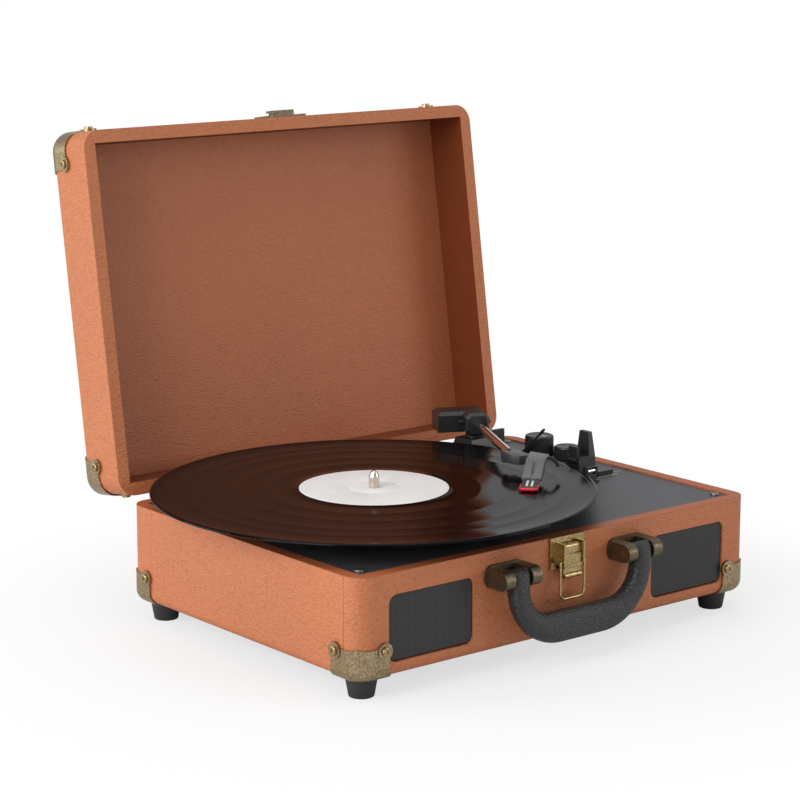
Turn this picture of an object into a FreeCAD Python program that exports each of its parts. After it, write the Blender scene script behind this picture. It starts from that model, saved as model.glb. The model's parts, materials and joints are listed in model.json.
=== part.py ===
"""Suitcase record player: a hinged case with a belt-driven turntable, built as separate pieces.

Frame: +Z up, the rubber feet stand on z = 0, the front of the case faces -Y.
Each piece is modelled about the middle of the case (or about its own hinge), and its Placement moves
it so that the origin lies under the middle of the whole machine's bounding box.
"""
import FreeCAD, Part
import math
import os
import re
import Sketcher
from FreeCAD import Placement, Rotation, Vector

doc = FreeCAD.newDocument("record_player")

# ----------------------------------------------------------------------------- driving dimensions (mm)
SIZES = [
    ("caseWidth", 345, "outside width of base and lid"),
    ("caseDepth", 252, "outside depth of base and lid"),
    ("baseHeight", 67, "height of the base box, underside to rim"),
    ("lidHeight", 44, "height of the lid box, rim to outer face"),
    ("wall", 9, "thickness of the case walls"),
    ("cornerRadius", 13, "radius of the upright case corners"),
    ("edgeRadius", 7, "rounding along the base underside and the lid outer face"),
    ("lidSkin", 4, "thickness of the lid outer board"),
    ("lidLining", 3, "thickness of the lining panel in the lid"),
    ("bottomThickness", 5, "thickness of the base bottom panel"),
    ("lidLean", 8.5, "how far the open lid leans past upright, degrees"),
    ("hingeBehind", 5.8, "hinge axis behind the back wall"),
    ("hingeBelow", 4.1, "hinge axis below the rim"),
    ("hingePinRadius", 1.5, "radius of the hinge pins"),
    ("hingeBarrelRadius", 3.2, "outer radius of the hinge barrels"),
    ("hingeLength", 40, "length of each hinge along the case"),
    ("hingeOffset", 105, "hinge middle from the middle of the case"),
    ("leafThickness", 1.4, "sheet thickness of the hinge leaves"),
    ("footHeight", 14, "height of the rubber feet"),
    ("footTopRadius", 10.4, "foot radius where it meets the case"),
    ("footBottomRadius", 8, "foot radius on the table"),
    ("footInsetX", 17, "foot centre from the side of the case"),
    ("footInsetY", 17.5, "foot centre from the front or back"),
    ("deckThickness", 3, "thickness of the deck plate"),
    ("deckRecess", 1, "deck top below the rim"),
    ("slackFit", 0.3, "gap between parts that drop in"),
    ("runFit", 0.05, "radial clearance of shafts and pins"),
    ("seatFit", 0.02, "radial clearance of fixed pins"),
    ("screwInset", 15.5, "deck screw from the side and from the front"),
    ("cleatWidth", 14, "width of the blocks that carry the deck"),
    ("cleatLength", 34, "length of the blocks that carry the deck"),
    ("screwRadius", 1.5, "shank radius of the small screws"),
    ("headRadius", 3.1, "head radius of the small screws"),
    ("headHeight", 1.6, "head height of the small screws"),
    ("spindleX", -55.6, "platter axis from the middle of the case"),
    ("spindleY", 4, "platter axis from the middle of the case"),
    ("recordAboveRim", 15.9, "record playing surface above the rim"),
    ("recordRadius", 150.8, "radius of a long-playing record"),
    ("recordThickness", 1.8, "record thickness at label and edge bead"),
    ("grooveDip", 0.25, "playing surface below the edge bead"),
    ("beadWidth", 4, "width of the record edge bead"),
    ("labelRadius", 50.8, "radius of the record label"),
    ("labelThickness", 0.25, "thickness of the record label"),
    ("spindleRadius", 3.55, "radius of the centre spindle"),
    ("spindleProud", 11.5, "spindle tip above the record"),
    ("matThickness", 1.5, "slip mat thickness"),
    ("platterRadius", 95, "outside radius of the platter"),
    ("platterThickness", 4, "thickness of the platter web"),
    ("skirtDepth", 5.5, "depth of the platter skirt below the web"),
    ("driveRadius", 47.5, "radius of the drive ring under the platter"),
    ("ringDepth", 7, "depth of the drive ring below the web"),
    ("bushRadius", 8, "outside radius of the platter bearing"),
    ("bushProud", 4, "platter bearing above the deck"),
    ("bushDepth", 16, "platter bearing below the deck"),
    ("pulleyRadius", 5, "radius of the motor pulley"),
    ("pulleyDistance", 72, "motor shaft from the platter axis"),
    ("pulleyAngle", 135, "direction of the motor from the platter axis, degrees"),
    ("motorRadius", 16, "radius of the motor can"),
    ("motorHeight", 24, "height of the motor can"),
    ("motorShaftRadius", 1, "radius of the motor shaft"),
    ("beltGap", 0.1, "gap between the belt and its wheels"),
    ("beltThickness", 0.6, "thickness of the drive belt"),
    ("beltHeight", 4, "width of the drive belt"),
    ("grilleWidth", 69, "width of the speaker recess"),
    ("grilleHeight", 43.5, "height of the speaker recess"),
    ("grilleRadius", 6, "corner radius of the speaker recess"),
    ("grilleOffset", 113, "speaker middle from the middle of the case"),
    ("grilleAboveBase", 31, "speaker middle above the base underside"),
    ("grilleGap", 0.6, "gap round the speaker grille"),
    ("grilleThickness", 2, "thickness of the speaker grille"),
    ("grilleSink", 1.2, "grille face behind the case front"),
    ("speakerRadius", 25.5, "radius of the speaker frame flange"),
    ("speakerHole", 21, "radius of the sound opening"),
    ("speakerDepth", 16, "depth of the speaker basket"),
    ("magnetRadius", 14, "radius of the speaker magnet"),
    ("magnetDepth", 10, "depth of the speaker magnet"),
    ("bracketThickness", 1.2, "sheet thickness of the corner brackets"),
    ("bracketGap", 0.06, "gap between a corner bracket and the case"),
    ("bracketReach", 25, "how far a corner bracket reaches along each face"),
    ("bracketHeight", 22.5, "height of a corner bracket"),
    ("bracketBall", 8.2, "outer rounding of the bracket along its closed edges"),
    ("bracketFlare", 2.5, "how much wider a corner bracket is at its closed face"),
    ("bracketDip", 2.2, "dip in the upper edge of a corner bracket"),
    ("tabRadius", 5.5, "radius of the screw tabs on the corner brackets"),
    ("tabAlong", 21, "screw tab from the case corner"),
    ("tabUp", 18.2, "screw tab above the closed face"),
    ("tabThickness", 2, "thickness of the raised screw tabs"),
    ("bracketScrewRadius", 3, "head radius of the bracket screws"),
    ("handleAxisOut", 14.2, "handle pivot in front of the case"),
    ("handleAxisUp", 50.5, "handle pivot above the base underside"),
    ("handleSpan", 53.6, "handle end from the middle of the case"),
    ("handleEndWidth", 14, "width of the handle at its pivots"),
    ("handleBendOuter", 42, "outside radius of the handle bends"),
    ("handleBendInner", 20, "inside radius of the handle bends"),
    ("handleDrop", 48.5, "handle pivot to the lowest edge of the grip"),
    ("gripHeight", 21, "height of the grip bar"),
    ("handleThickness", 13, "thickness of the padded handle"),
    ("handleRim", 4.5, "rounding of the padded handle's edges"),
    ("handlePinRadius", 2, "radius of the handle pins"),
    ("earRadius", 6.2, "radius of the bracket ears at the pin"),
    ("earThickness", 8, "thickness of each bracket ear"),
    ("handlePlateWidth", 34, "length of a handle bracket plate"),
    ("handlePlateHeight", 15.4, "height of a handle bracket plate"),
    ("handlePlateThickness", 2.4, "thickness of a handle bracket plate"),
    ("latchWidth", 30, "width of the latch plate"),
    ("latchHeight", 21, "height of the latch plate"),
    ("latchThickness", 1.5, "thickness of the latch plate"),
    ("leverWidth", 15, "width of the latch lever"),
    ("leverThickness", 2, "thickness of the latch lever"),
    ("leverPivotUp", 60.5, "latch lever pivot above the base underside"),
    ("leverPivotOut", 4, "latch lever pivot in front of the case"),
    ("bailPivotUp", 51.5, "wire loop pivot above the base underside"),
    ("bailPivotOut", 6.6, "wire loop pivot in front of the case"),
    ("bailWidth", 23, "width of the wire loop"),
    ("bailDrop", 25, "length of the wire loop"),
    ("bailTopBend", 1.2, "bend radius of the wire loop at its pivots"),
    ("bailLowBend", 4, "bend radius of the wire loop at its low corners"),
    ("leverReach", 20.7, "latch lever pivot to the low edge of its rolled end"),
    ("wireRadius", 1, "radius of the loop wire"),
    ("armX", 102.8, "tonearm pivot from the middle of the case"),
    ("armY", 84.4, "tonearm pivot from the middle of the case"),
    ("armAngle", 242.5, "direction of the tonearm from its pivot, degrees"),
    ("armAboveRecord", 10.5, "tonearm axis above the record"),
    ("tubeRadius", 3, "radius of the tonearm tube"),
    ("tubeEnd", 105, "tonearm tube end from the pivot"),
    ("headAlong", 161, "lower front of the cartridge from the pivot"),
    ("headAside", 1.8, "lower front of the cartridge off the tube line"),
    ("headOffset", 22, "offset angle of the cartridge, degrees"),
    ("cartWidth", 13, "width of the cartridge"),
    ("stylusGap", 0.4, "stylus tip above the groove with the arm held up"),
    ("housingLeft", 27, "arm housing from the tube line, record side"),
    ("housingRight", 9, "arm housing from the tube line, outer side"),
    ("housingBack", 22, "arm housing behind the pivot"),
    ("housingFront", 12, "arm housing in front of the pivot"),
    ("housingHalf", 8.5, "half the height of the arm housing"),
    ("pillarTop", 16, "tonearm pillar above the deck"),
    ("restX", 110.8, "middle of the arm rest"),
    ("restY", -21, "middle of the arm rest"),
    ("restSeat", 20, "seat of the arm rest above the deck"),
    ("clipHeight", 10, "height of the arm clip above its pivot"),
    ("restTop", 36.5, "top of the arm rest above the deck"),
    ("knobRadiusA", 10.9, "radius of the tall knob"),
    ("knobRadiusB", 9.7, "radius of the low knob"),
    ("knobHeightA", 16, "height of the tall knob"),
    ("knobHeightB", 9.5, "height of the low knob"),
    ("knobAX", 142.1, "tall knob from the middle of the case"),
    ("knobAY", 56, "tall knob from the middle of the case"),
    ("knobBX", 152.3, "low knob from the middle of the case"),
    ("knobBY", 37, "low knob from the middle of the case"),
    ("knobShaftRadius", 3, "radius of the knob shafts"),
    ("cueX", 127.5, "cue lever from the middle of the case"),
    ("cueY", 62, "cue lever pivot from the middle of the case"),
    ("selectorX", 140, "speed selector from the middle of the case"),
    ("selectorY", -14, "speed selector from the middle of the case"),
    ("selectorTravel", 5, "travel of the speed selector each way"),
    ("jackWidth", 84, "width of the rear jack panel"),
    ("jackHeight", 24, "height of the rear jack panel"),
]

# Places worked out from the driving dimensions.
DERIVED = {
    "rimZ": "footHeight + baseHeight",
    "deckZ": "rimZ - deckRecess",
    "deckUnder": "deckZ - deckThickness",
    "frontY": "caseDepth / 2",
    "sideX": "caseWidth / 2",
    "innerX": "sideX - wall",
    "innerY": "frontY - wall",
    "recordTop": "rimZ + recordAboveRim",
    "grooveTop": "recordTop - grooveDip",
    "recordUnder": "recordTop - recordThickness",
    "platterTop": "recordUnder - matThickness",
    "platterUnder": "platterTop - platterThickness",
    "armZ": "recordTop + armAboveRecord",
    "hingeY": "frontY + hingeBehind",
    "hingeZ": "rimZ - hingeBelow",
    "footX": "sideX - footInsetX",
    "footY": "frontY - footInsetY",
    "grilleZ": "footHeight + grilleAboveBase",
    "handleZ": "footHeight + handleAxisUp",
    "handleY": "frontY + handleAxisOut",
    "leverZ": "footHeight + leverPivotUp",
    "leverY": "frontY + leverPivotOut",
    "bailZ": "footHeight + bailPivotUp",
    "bailY": "frontY + bailPivotOut",
    "motorX": "spindleX + pulleyDistance * cos(pulleyAngle * 1deg)",
    "motorY": "spindleY + pulleyDistance * sin(pulleyAngle * 1deg)",
    "lidTopY": "hingeY + (hingeBehind + caseDepth + bracketThickness - bracketBall) * sin(lidLean * 1deg)"
               " + (hingeBelow + lidHeight + bracketThickness - bracketBall) * cos(lidLean * 1deg)"
               " + bracketBall",
    "shiftX": "0 - (sideX + tabThickness + headHeight + spindleX - recordRadius) / 2",
    "shiftY": "0 - (lidTopY + spindleY - recordRadius) / 2",
}

sheet = doc.addObject("Spreadsheet::Sheet", "Sizes")
for index, (alias, value, note) in enumerate(SIZES, start=1):
    sheet.set(f"A{index}", alias)
    sheet.set(f"B{index}", str(value))
    sheet.setAlias(f"B{index}", alias)
    sheet.set(f"C{index}", note)
doc.recompute()
ALIASES = {alias for alias, _, _ in SIZES}


def ex(text):
    """Turn a formula in the names above into a FreeCAD expression on the sheet."""
    def word(match):
        name = match.group()
        if name in DERIVED:
            return "(" + ex(DERIVED[name]) + ")"
        if name in ALIASES:
            return "Sizes." + name
        return name
    return re.sub(r"[A-Za-z_]\w*", word, str(text))


def num(text):
    """The value of a formula, for shapes that are made directly."""
    return float(sheet.evalExpression(ex(text)))


# ----------------------------------------------------------------------------- building helpers
NODES = []


def bind_base(obj, x, y, z):
    obj.setExpression("Placement.Base.x", ex(x))
    obj.setExpression("Placement.Base.y", ex(y))
    obj.setExpression("Placement.Base.z", ex(z))


def box(name, length, width, height, x, y, z):
    """A box that is centred on x and y and stands on z."""
    obj = doc.addObject("Part::Box", name)
    obj.setExpression("Length", ex(length))
    obj.setExpression("Width", ex(width))
    obj.setExpression("Height", ex(height))
    bind_base(obj, f"({x}) - ({length}) / 2", f"({y}) - ({width}) / 2", z)
    return obj


TURNS = {
    "Z": Rotation(),
    "X": Rotation(Vector(0, 1, 0), 90),
    "Y": Rotation(Vector(1, 0, 0), -90),
}


def rod(name, radius, length, x, y, z, axis="Z"):
    """A cylinder that starts at x, y, z and runs along the positive axis."""
    obj = doc.addObject("Part::Cylinder", name)
    obj.setExpression("Radius", ex(radius))
    obj.setExpression("Height", ex(length))
    obj.Placement = Placement(Vector(), TURNS[axis])
    bind_base(obj, x, y, z)
    return obj


def taper(name, radius1, radius2, length, x, y, z, axis="Z"):
    obj = doc.addObject("Part::Cone", name)
    obj.setExpression("Radius1", ex(radius1))
    obj.setExpression("Radius2", ex(radius2))
    obj.setExpression("Height", ex(length))
    obj.Placement = Placement(Vector(), TURNS[axis])
    bind_base(obj, x, y, z)
    return obj


def fuse(name, parts):
    obj = doc.addObject("Part::MultiFuse", name)
    obj.Shapes = parts
    return obj


def cut(name, base, tools):
    obj = doc.addObject("Part::Cut", name)
    obj.Base = base
    obj.Tool = tools[0] if len(tools) == 1 else fuse(name + "_tools", tools)
    return obj


def group(name, parts):
    """Several separate solids of one kind, kept in one node."""
    obj = doc.addObject("Part::Compound", name)
    obj.Links = parts
    return obj


def node(obj, label):
    """Name a finished piece and move it from the middle of the case to the part's origin."""
    obj.Label = label
    bind_base(obj, "shiftX", "shiftY", "0")
    NODES.append(obj)
    return obj


def hinged_node(obj, label, x, y, z, axis, angle):
    """Name a piece that was modelled about its own pivot, and turn it to its rest pose."""
    obj.Label = label
    obj.Placement = Placement(Vector(), Rotation(axis, num(angle)))
    bind_base(obj, f"shiftX + {x}", f"shiftY + {y}", z)
    obj.setExpression("Placement.Rotation.Angle", ex(f"({angle}) * 1deg"))
    NODES.append(obj)
    return obj


def shaped(name, shape):
    """A piece whose shape is made directly from Part's own functions."""
    obj = doc.addObject("Part::Feature", name)
    obj.Shape = shape
    return obj


def origin_plane(body, role):
    return [item for item in body.Origin.OriginFeatures if item.Role == role][0]


def new_sketch(body, name, role, lift=None):
    sketch = body.newObject("Sketcher::SketchObject", name)
    sketch.AttachmentSupport = (origin_plane(body, role), [""])
    sketch.MapMode = "FlatFace"
    if lift:
        sketch.setExpression("AttachmentOffset.Base.z", ex(lift))
    return sketch


def outline(sketch, points):
    """A closed outline whose corners sit at formulas (x, y), none of them negative."""
    places = [Vector(num(x), num(y), 0) for x, y in points]
    count = len(points)
    for i in range(count):
        sketch.addGeometry(Part.LineSegment(places[i], places[(i + 1) % count]), False)
    for i in range(count):
        sketch.addConstraint(Sketcher.Constraint("Coincident", i, 2, (i + 1) % count, 1))
    for i, (x, y) in enumerate(points):
        if abs(places[i].x) < 1e-9:
            sketch.addConstraint(Sketcher.Constraint("PointOnObject", i, 1, -2))
        else:
            at = sketch.addConstraint(Sketcher.Constraint("DistanceX", -1, 1, i, 1, places[i].x))
            sketch.setExpression(f"Constraints[{at}]", ex(x))
        if abs(places[i].y) < 1e-9:
            sketch.addConstraint(Sketcher.Constraint("PointOnObject", i, 1, -1))
        else:
            at = sketch.addConstraint(Sketcher.Constraint("DistanceY", -1, 1, i, 1, places[i].y))
            sketch.setExpression(f"Constraints[{at}]", ex(y))


def centred_rectangle(sketch, width, depth):
    """A rectangle about the sketch origin, sized by two formulas."""
    half_x = num(width) / 2
    half_y = num(depth) / 2
    corners = [Vector(-half_x, -half_y, 0), Vector(half_x, -half_y, 0),
               Vector(half_x, half_y, 0), Vector(-half_x, half_y, 0)]
    for i in range(4):
        sketch.addGeometry(Part.LineSegment(corners[i], corners[(i + 1) % 4]), False)
    for i in range(4):
        sketch.addConstraint(Sketcher.Constraint("Coincident", i, 2, (i + 1) % 4, 1))
    for i, kind in enumerate(("Horizontal", "Vertical", "Horizontal", "Vertical")):
        sketch.addConstraint(Sketcher.Constraint(kind, i))
    sketch.addConstraint(Sketcher.Constraint("Symmetric", 0, 1, 2, 1, -1, 1))
    at = sketch.addConstraint(Sketcher.Constraint("DistanceX", 0, 1, 0, 2, 2 * half_x))
    sketch.setExpression(f"Constraints[{at}]", ex(width))
    at = sketch.addConstraint(Sketcher.Constraint("DistanceY", 1, 1, 1, 2, 2 * half_y))
    sketch.setExpression(f"Constraints[{at}]", ex(depth))


def turned(name, points):
    """A body turned about its own Z axis from an outline of (radius, height) formulas."""
    body = doc.addObject("PartDesign::Body", name)
    sketch = new_sketch(body, name + "_profile", "XZ_Plane")
    outline(sketch, points)
    spin = body.newObject("PartDesign::Revolution", name + "_turn")
    spin.Profile = sketch
    spin.ReferenceAxis = (sketch, ["V_Axis"])
    spin.Angle = 360
    body.Tip = spin
    return body


def edges_of(feature, wanted):
    doc.recompute()
    return [f"Edge{i}" for i, edge in enumerate(feature.Shape.Edges, start=1) if wanted(edge)]


def is_upright(edge):
    ends = edge.Vertexes
    return len(ends) == 2 and ends[0].Point.sub(ends[1].Point).cross(Vector(0, 0, 1)).Length < 1e-6


def round_edges(body, feature, name, radius, wanted):
    fillet = body.newObject("PartDesign::Fillet", name)
    fillet.Base = (feature, edges_of(feature, wanted))
    fillet.setExpression("Radius", ex(radius))
    body.Tip = fillet
    doc.recompute()
    return fillet


def pocket(body, name, sketch, depth):
    """A pocket that is turned round if it first points away from the solid."""
    doc.recompute()
    before = body.Shape.Volume
    feature = body.newObject("PartDesign::Pocket", name)
    feature.Profile = sketch
    feature.setExpression("Length", ex(depth))
    body.Tip = feature
    doc.recompute()
    if body.Shape.Volume > before - 1:
        feature.Reversed = True
        doc.recompute()
    if body.Shape.Volume > before - 1:
        raise RuntimeError(name + " cuts nothing")
    return feature


def case_box(name, height, hollow_from, hollow_depth, closed_face):
    """A case half: a padded rectangle with round corners, an eased closed face and a square hollow."""
    body = doc.addObject("PartDesign::Body", name)
    sketch = new_sketch(body, name + "_outline", "XY_Plane")
    centred_rectangle(sketch, "caseWidth", "caseDepth")
    pad = body.newObject("PartDesign::Pad", name + "_block")
    pad.Profile = sketch
    pad.setExpression("Length", ex(height))
    body.Tip = pad
    corners = round_edges(body, pad, name + "_corners", "cornerRadius", is_upright)
    level = num(closed_face)
    eased = round_edges(body, corners, name + "_ease", "edgeRadius",
                        lambda edge: all(abs(v.Point.z - level) < 1e-6 for v in edge.Vertexes)
                        and abs(edge.BoundBox.ZMax - level) < 1e-6)
    inner = new_sketch(body, name + "_inner", "XY_Plane", hollow_from)
    centred_rectangle(inner, "caseWidth - 2 * wall", "caseDepth - 2 * wall")
    pocket(body, name + "_hollow", inner, hollow_depth)
    return body, eased


def rounded_plate(width, height, thickness, radius):
    """A plate in the X-Z plane about the origin, its back on y = 0, thickness towards -Y."""
    plate = Part.makeBox(width, thickness, height, Vector(-width / 2, -thickness, -height / 2))
    edges = [edge for edge in plate.Edges
             if abs(edge.Vertexes[0].Point.y - edge.Vertexes[1].Point.y) > thickness / 2]
    return plate.makeFillet(radius, edges)


SIDES = (("left", -1), ("right", 1))


def four_corners(function):
    return [function(sx, sy) for sx in (-1, 1) for sy in (-1, 1)]


def screw_shape(at, direction, shank):
    """A pan-head screw: the head's underside is at the point, the shank runs against direction."""
    head_radius = num("headRadius")
    head_height = num("headHeight")
    head = Part.makeCylinder(head_radius, head_height, at, direction)
    head = head.makeFillet(head_height * 0.45, [head.Edges[0] if head.Edges[0].BoundBox.Center.sub(at)
                           .dot(direction) > head_height / 2 else head.Edges[2]])
    stem = Part.makeCylinder(num("screwRadius"), shank, at, direction * -1)
    slot_depth = head_height * 0.45
    arms = []
    for turn in (0, 90):
        arm = Part.makeBox(head_radius * 1.1, 0.7, slot_depth * 2,
                           Vector(-head_radius * 0.55, -0.35, head_height - slot_depth))
        arm.rotate(Vector(), Vector(0, 0, 1), turn + 45)
        arms.append(arm)
    recess = arms[0].fuse(arms[1])
    recess.Placement = Placement(at, Rotation(Vector(0, 0, 1), direction))
    return head.fuse(stem).cut(recess)


# ----------------------------------------------------------------------------- base box
base_block, _ = case_box("base_block", "baseHeight", "0 - 1", "baseHeight + 2", "0")
base_block.setExpression("Placement.Base.z", ex("footHeight"))

openings = []
for side, sign in SIDES:
    recess = shaped(side + "_grille_recess",
                    rounded_plate(num("grilleWidth"), num("grilleHeight"),
                                  num("grilleSink + grilleThickness") + 1, num("grilleRadius")))
    recess.Placement = Placement(Vector(sign * num("grilleOffset"),
                                        num("0 - frontY + grilleSink + grilleThickness"), num("grilleZ")),
                                 Rotation())
    openings.append(recess)
    openings.append(rod(side + "_sound_hole", "speakerHole", "wall + 2",
                        f"{sign} * grilleOffset", "0 - frontY - 1", "grilleZ", "Y"))
openings.append(box("jack_opening", "jackWidth - 8", "wall + 2", "jackHeight - 6", "0",
                    "frontY - wall / 2", "footHeight + 19"))
node(cut("base_cut", base_block, openings), "base_shell")

bottom_block = box("bottom_block", "caseWidth - 2 * wall - 2 * slackFit", "caseDepth - 2 * wall - 2 * slackFit",
                   "bottomThickness", "0", "0", "footHeight")
bottom_holes = four_corners(lambda sx, sy: rod("bottom_hole", "screwRadius + seatFit", "bottomThickness + 2",
                                               f"{sx} * footX", f"{sy} * footY", "footHeight - 1"))
node(cut("bottom_cut", bottom_block, bottom_holes), "bottom_panel")

# ----------------------------------------------------------------------------- feet
feet = four_corners(lambda sx, sy: cut("foot", taper("foot_cone", "footBottomRadius", "footTopRadius",
                                                     "footHeight", f"{sx} * footX", f"{sy} * footY", "0"),
                                       [rod("foot_bore", "screwRadius + seatFit", "8",
                                            f"{sx} * footX", f"{sy} * footY", "footHeight - 7")]))
node(group("feet_group", feet), "rubber_feet")

foot_screws = four_corners(lambda sx, sy: shaped("foot_screw", screw_shape(
    Vector(sx * num("footX"), sy * num("footY"), num("footHeight + bottomThickness")), Vector(0, 0, 1),
    num("bottomThickness") + 6)))
node(group("foot_screw_group", foot_screws), "foot_screws")

# ----------------------------------------------------------------------------- deck
deck_block = box("deck_block", "2 * innerX - 2 * slackFit", "2 * innerY - 2 * slackFit", "deckThickness",
                 "0", "0", "deckUnder")
deck_holes = [
    rod("deck_bush_hole", "bushRadius + seatFit", "deckThickness + 2", "spindleX", "spindleY", "deckUnder - 1"),
    rod("deck_motor_hole", "pulleyRadius + 2", "deckThickness + 2", "motorX", "motorY", "deckUnder - 1"),
    rod("deck_arm_hole", "tubeRadius + 3", "deckThickness + 2", "armX", "armY", "deckUnder - 1"),
    rod("deck_knob_hole_a", "knobShaftRadius + 0.5", "deckThickness + 2", "knobAX", "knobAY", "deckUnder - 1"),
    rod("deck_knob_hole_b", "knobShaftRadius + 0.5", "deckThickness + 2", "knobBX", "knobBY", "deckUnder - 1"),
    box("deck_cue_slot", "4", "15", "deckThickness + 2", "cueX", "cueY", "deckUnder - 1"),
    box("deck_selector_slot", "5 + 2 * selectorTravel + 1", "3.2", "deckThickness + 2",
        "selectorX", "selectorY", "deckUnder - 1"),
]
deck_holes += four_corners(lambda sx, sy: rod("deck_screw_hole", "screwRadius + seatFit", "deckThickness + 2",
                                              f"{sx} * (sideX - screwInset)", f"{sy} * (frontY - screwInset - 2)",
                                              "deckUnder - 1"))
node(cut("deck_cut", deck_block, deck_holes), "deck_plate")

cleats = four_corners(lambda sx, sy: cut(
    "cleat",
    box("cleat_block", "cleatWidth", "cleatLength", "12", f"{sx} * (innerX - cleatWidth / 2)",
        f"{sy} * (innerY - cleatLength / 2)", "deckUnder - 12"),
    [rod("cleat_hole", "screwRadius + seatFit", "12", f"{sx} * (sideX - screwInset)",
         f"{sy} * (frontY - screwInset - 2)", "deckUnder - 11")]))
node(group("cleat_group", cleats), "deck_cleats")

deck_screws = four_corners(lambda sx, sy: shaped("deck_screw", screw_shape(
    Vector(sx * num("sideX - screwInset"), sy * num("frontY - screwInset - 2"), num("deckZ")),
    Vector(0, 0, 1), num("deckThickness") + 8)))
node(group("deck_screw_group", deck_screws), "deck_screws")


# ----------------------------------------------------------------------------- corner brackets
def bracket_shape():
    """One corner bracket about a corner at the origin, the case filling +X, +Y and +Z."""
    sheet_t = num("bracketThickness")
    reach = num("bracketReach")
    height = num("bracketHeight")
    corner = num("cornerRadius")
    ease = num("edgeRadius")
    size = 2 * reach
    block = Part.makeBox(size, size, size, Vector(-sheet_t, -sheet_t, -sheet_t))
    gap = num("bracketGap")
    core = Part.makeBox(size, size, size, Vector(-gap, -gap, -gap))

    def rounded(solid, low, upright, level):
        def along(edge, axis):
            ends = edge.Vertexes
            near = all(abs(getattr(v.Point, other) - low) < 1e-6
                       for v in ends for other in "xyz" if other != axis)
            return near
        solid = solid.makeFillet(upright, [e for e in solid.Edges if along(e, "z")])
        bottom = [e for e in solid.Edges if e.BoundBox.ZMax < low + 1e-6
                  and (e.BoundBox.XMin < low + 1e-6 or e.BoundBox.YMin < low + 1e-6)]
        return solid.makeFillet(level, bottom)

    outer = rounded(block, -sheet_t, corner + sheet_t, num("bracketBall"))
    inner = rounded(core, -gap, corner, ease)
    low = -2 * sheet_t
    flare = num("bracketFlare")
    dip = num("bracketDip")
    trim = Part.Wire([
        Part.makeLine(Vector(low, -5, low), Vector(reach + flare, -5, low)),
        Part.makeLine(Vector(reach + flare, -5, low), Vector(reach + flare, -5, 1)),
        Part.Arc(Vector(reach + flare, -5, 1), Vector(reach + flare * 0.25, -5, 5),
                 Vector(reach, -5, height * 0.5)).toShape(),
        Part.makeLine(Vector(reach, -5, height * 0.5), Vector(reach, -5, height)),
        Part.Arc(Vector(reach, -5, height), Vector(reach / 2, -5, height - dip),
                 Vector(low, -5, height)).toShape(),
        Part.makeLine(Vector(low, -5, height), Vector(low, -5, low)),
    ])
    front = Part.Face(trim).extrude(Vector(0, 3 * reach, 0))
    side = front.mirror(Vector(), Vector(1, -1, 0))
    foot = Part.makeCylinder(num("footTopRadius") + 1, 4, Vector(num("footInsetX"), num("footInsetY"), -4))
    pieces = outer.cut(inner).common(front).common(side).cut(foot).Solids
    shell = max(pieces, key=lambda solid: solid.Volume)
    radius = num("tabRadius")
    along_edge = num("tabAlong")
    up = num("tabUp")
    thick = num("tabThickness")
    tab = Part.makeCylinder(radius, thick, Vector(along_edge, 0, up), Vector(0, -1, 0))
    hole = Part.makeCylinder(num("screwRadius + seatFit"), thick + 2, Vector(along_edge, 1, up),
                             Vector(0, -1, 0))
    tabs = tab.fuse(tab.mirror(Vector(), Vector(1, -1, 0)))
    holes = hole.fuse(hole.mirror(Vector(), Vector(1, -1, 0)))
    return shell.fuse(tabs).cut(holes).removeSplitter()


def bracket_screw_shapes():
    """The two screws of a bracket about a corner at the origin."""
    at = Vector(num("tabAlong"), -num("tabThickness"), num("tabUp"))
    screw = screw_shape(at, Vector(0, -1, 0), num("tabThickness") + 5)
    return [screw, screw.mirror(Vector(), Vector(1, -1, 0))]


def at_corner(shape, sx, sy, x, y, z, flip):
    """Mirror a corner piece into the corner at x, y, z; flip turns it upside down for the lid."""
    placed = shape.copy()
    if sx > 0:
        placed = placed.mirror(Vector(), Vector(1, 0, 0))
    if sy > 0:
        placed = placed.mirror(Vector(), Vector(0, 1, 0))
    if flip:
        placed = placed.mirror(Vector(), Vector(0, 0, 1))
    placed.translate(Vector(x, y, z))
    return placed


bracket = bracket_shape()
bracket_screws = bracket_screw_shapes()
base_corners = [(sx, sy) for sx in (-1, 1) for sy in (-1, 1)]
node(group("base_bracket_group", [
    shaped("base_bracket", at_corner(bracket, sx, sy, sx * num("sideX"), sy * num("frontY"),
                                     num("footHeight"), False))
    for sx, sy in base_corners]), "base_corner_brackets")
base_screw_parts = [
    shaped("base_bracket_screw", at_corner(screw, sx, sy, sx * num("sideX"), sy * num("frontY"),
                                           num("footHeight"), False))
    for sx, sy in base_corners for screw in bracket_screws]
node(group("base_bracket_screw_group", base_screw_parts), "base_bracket_screws")

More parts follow.
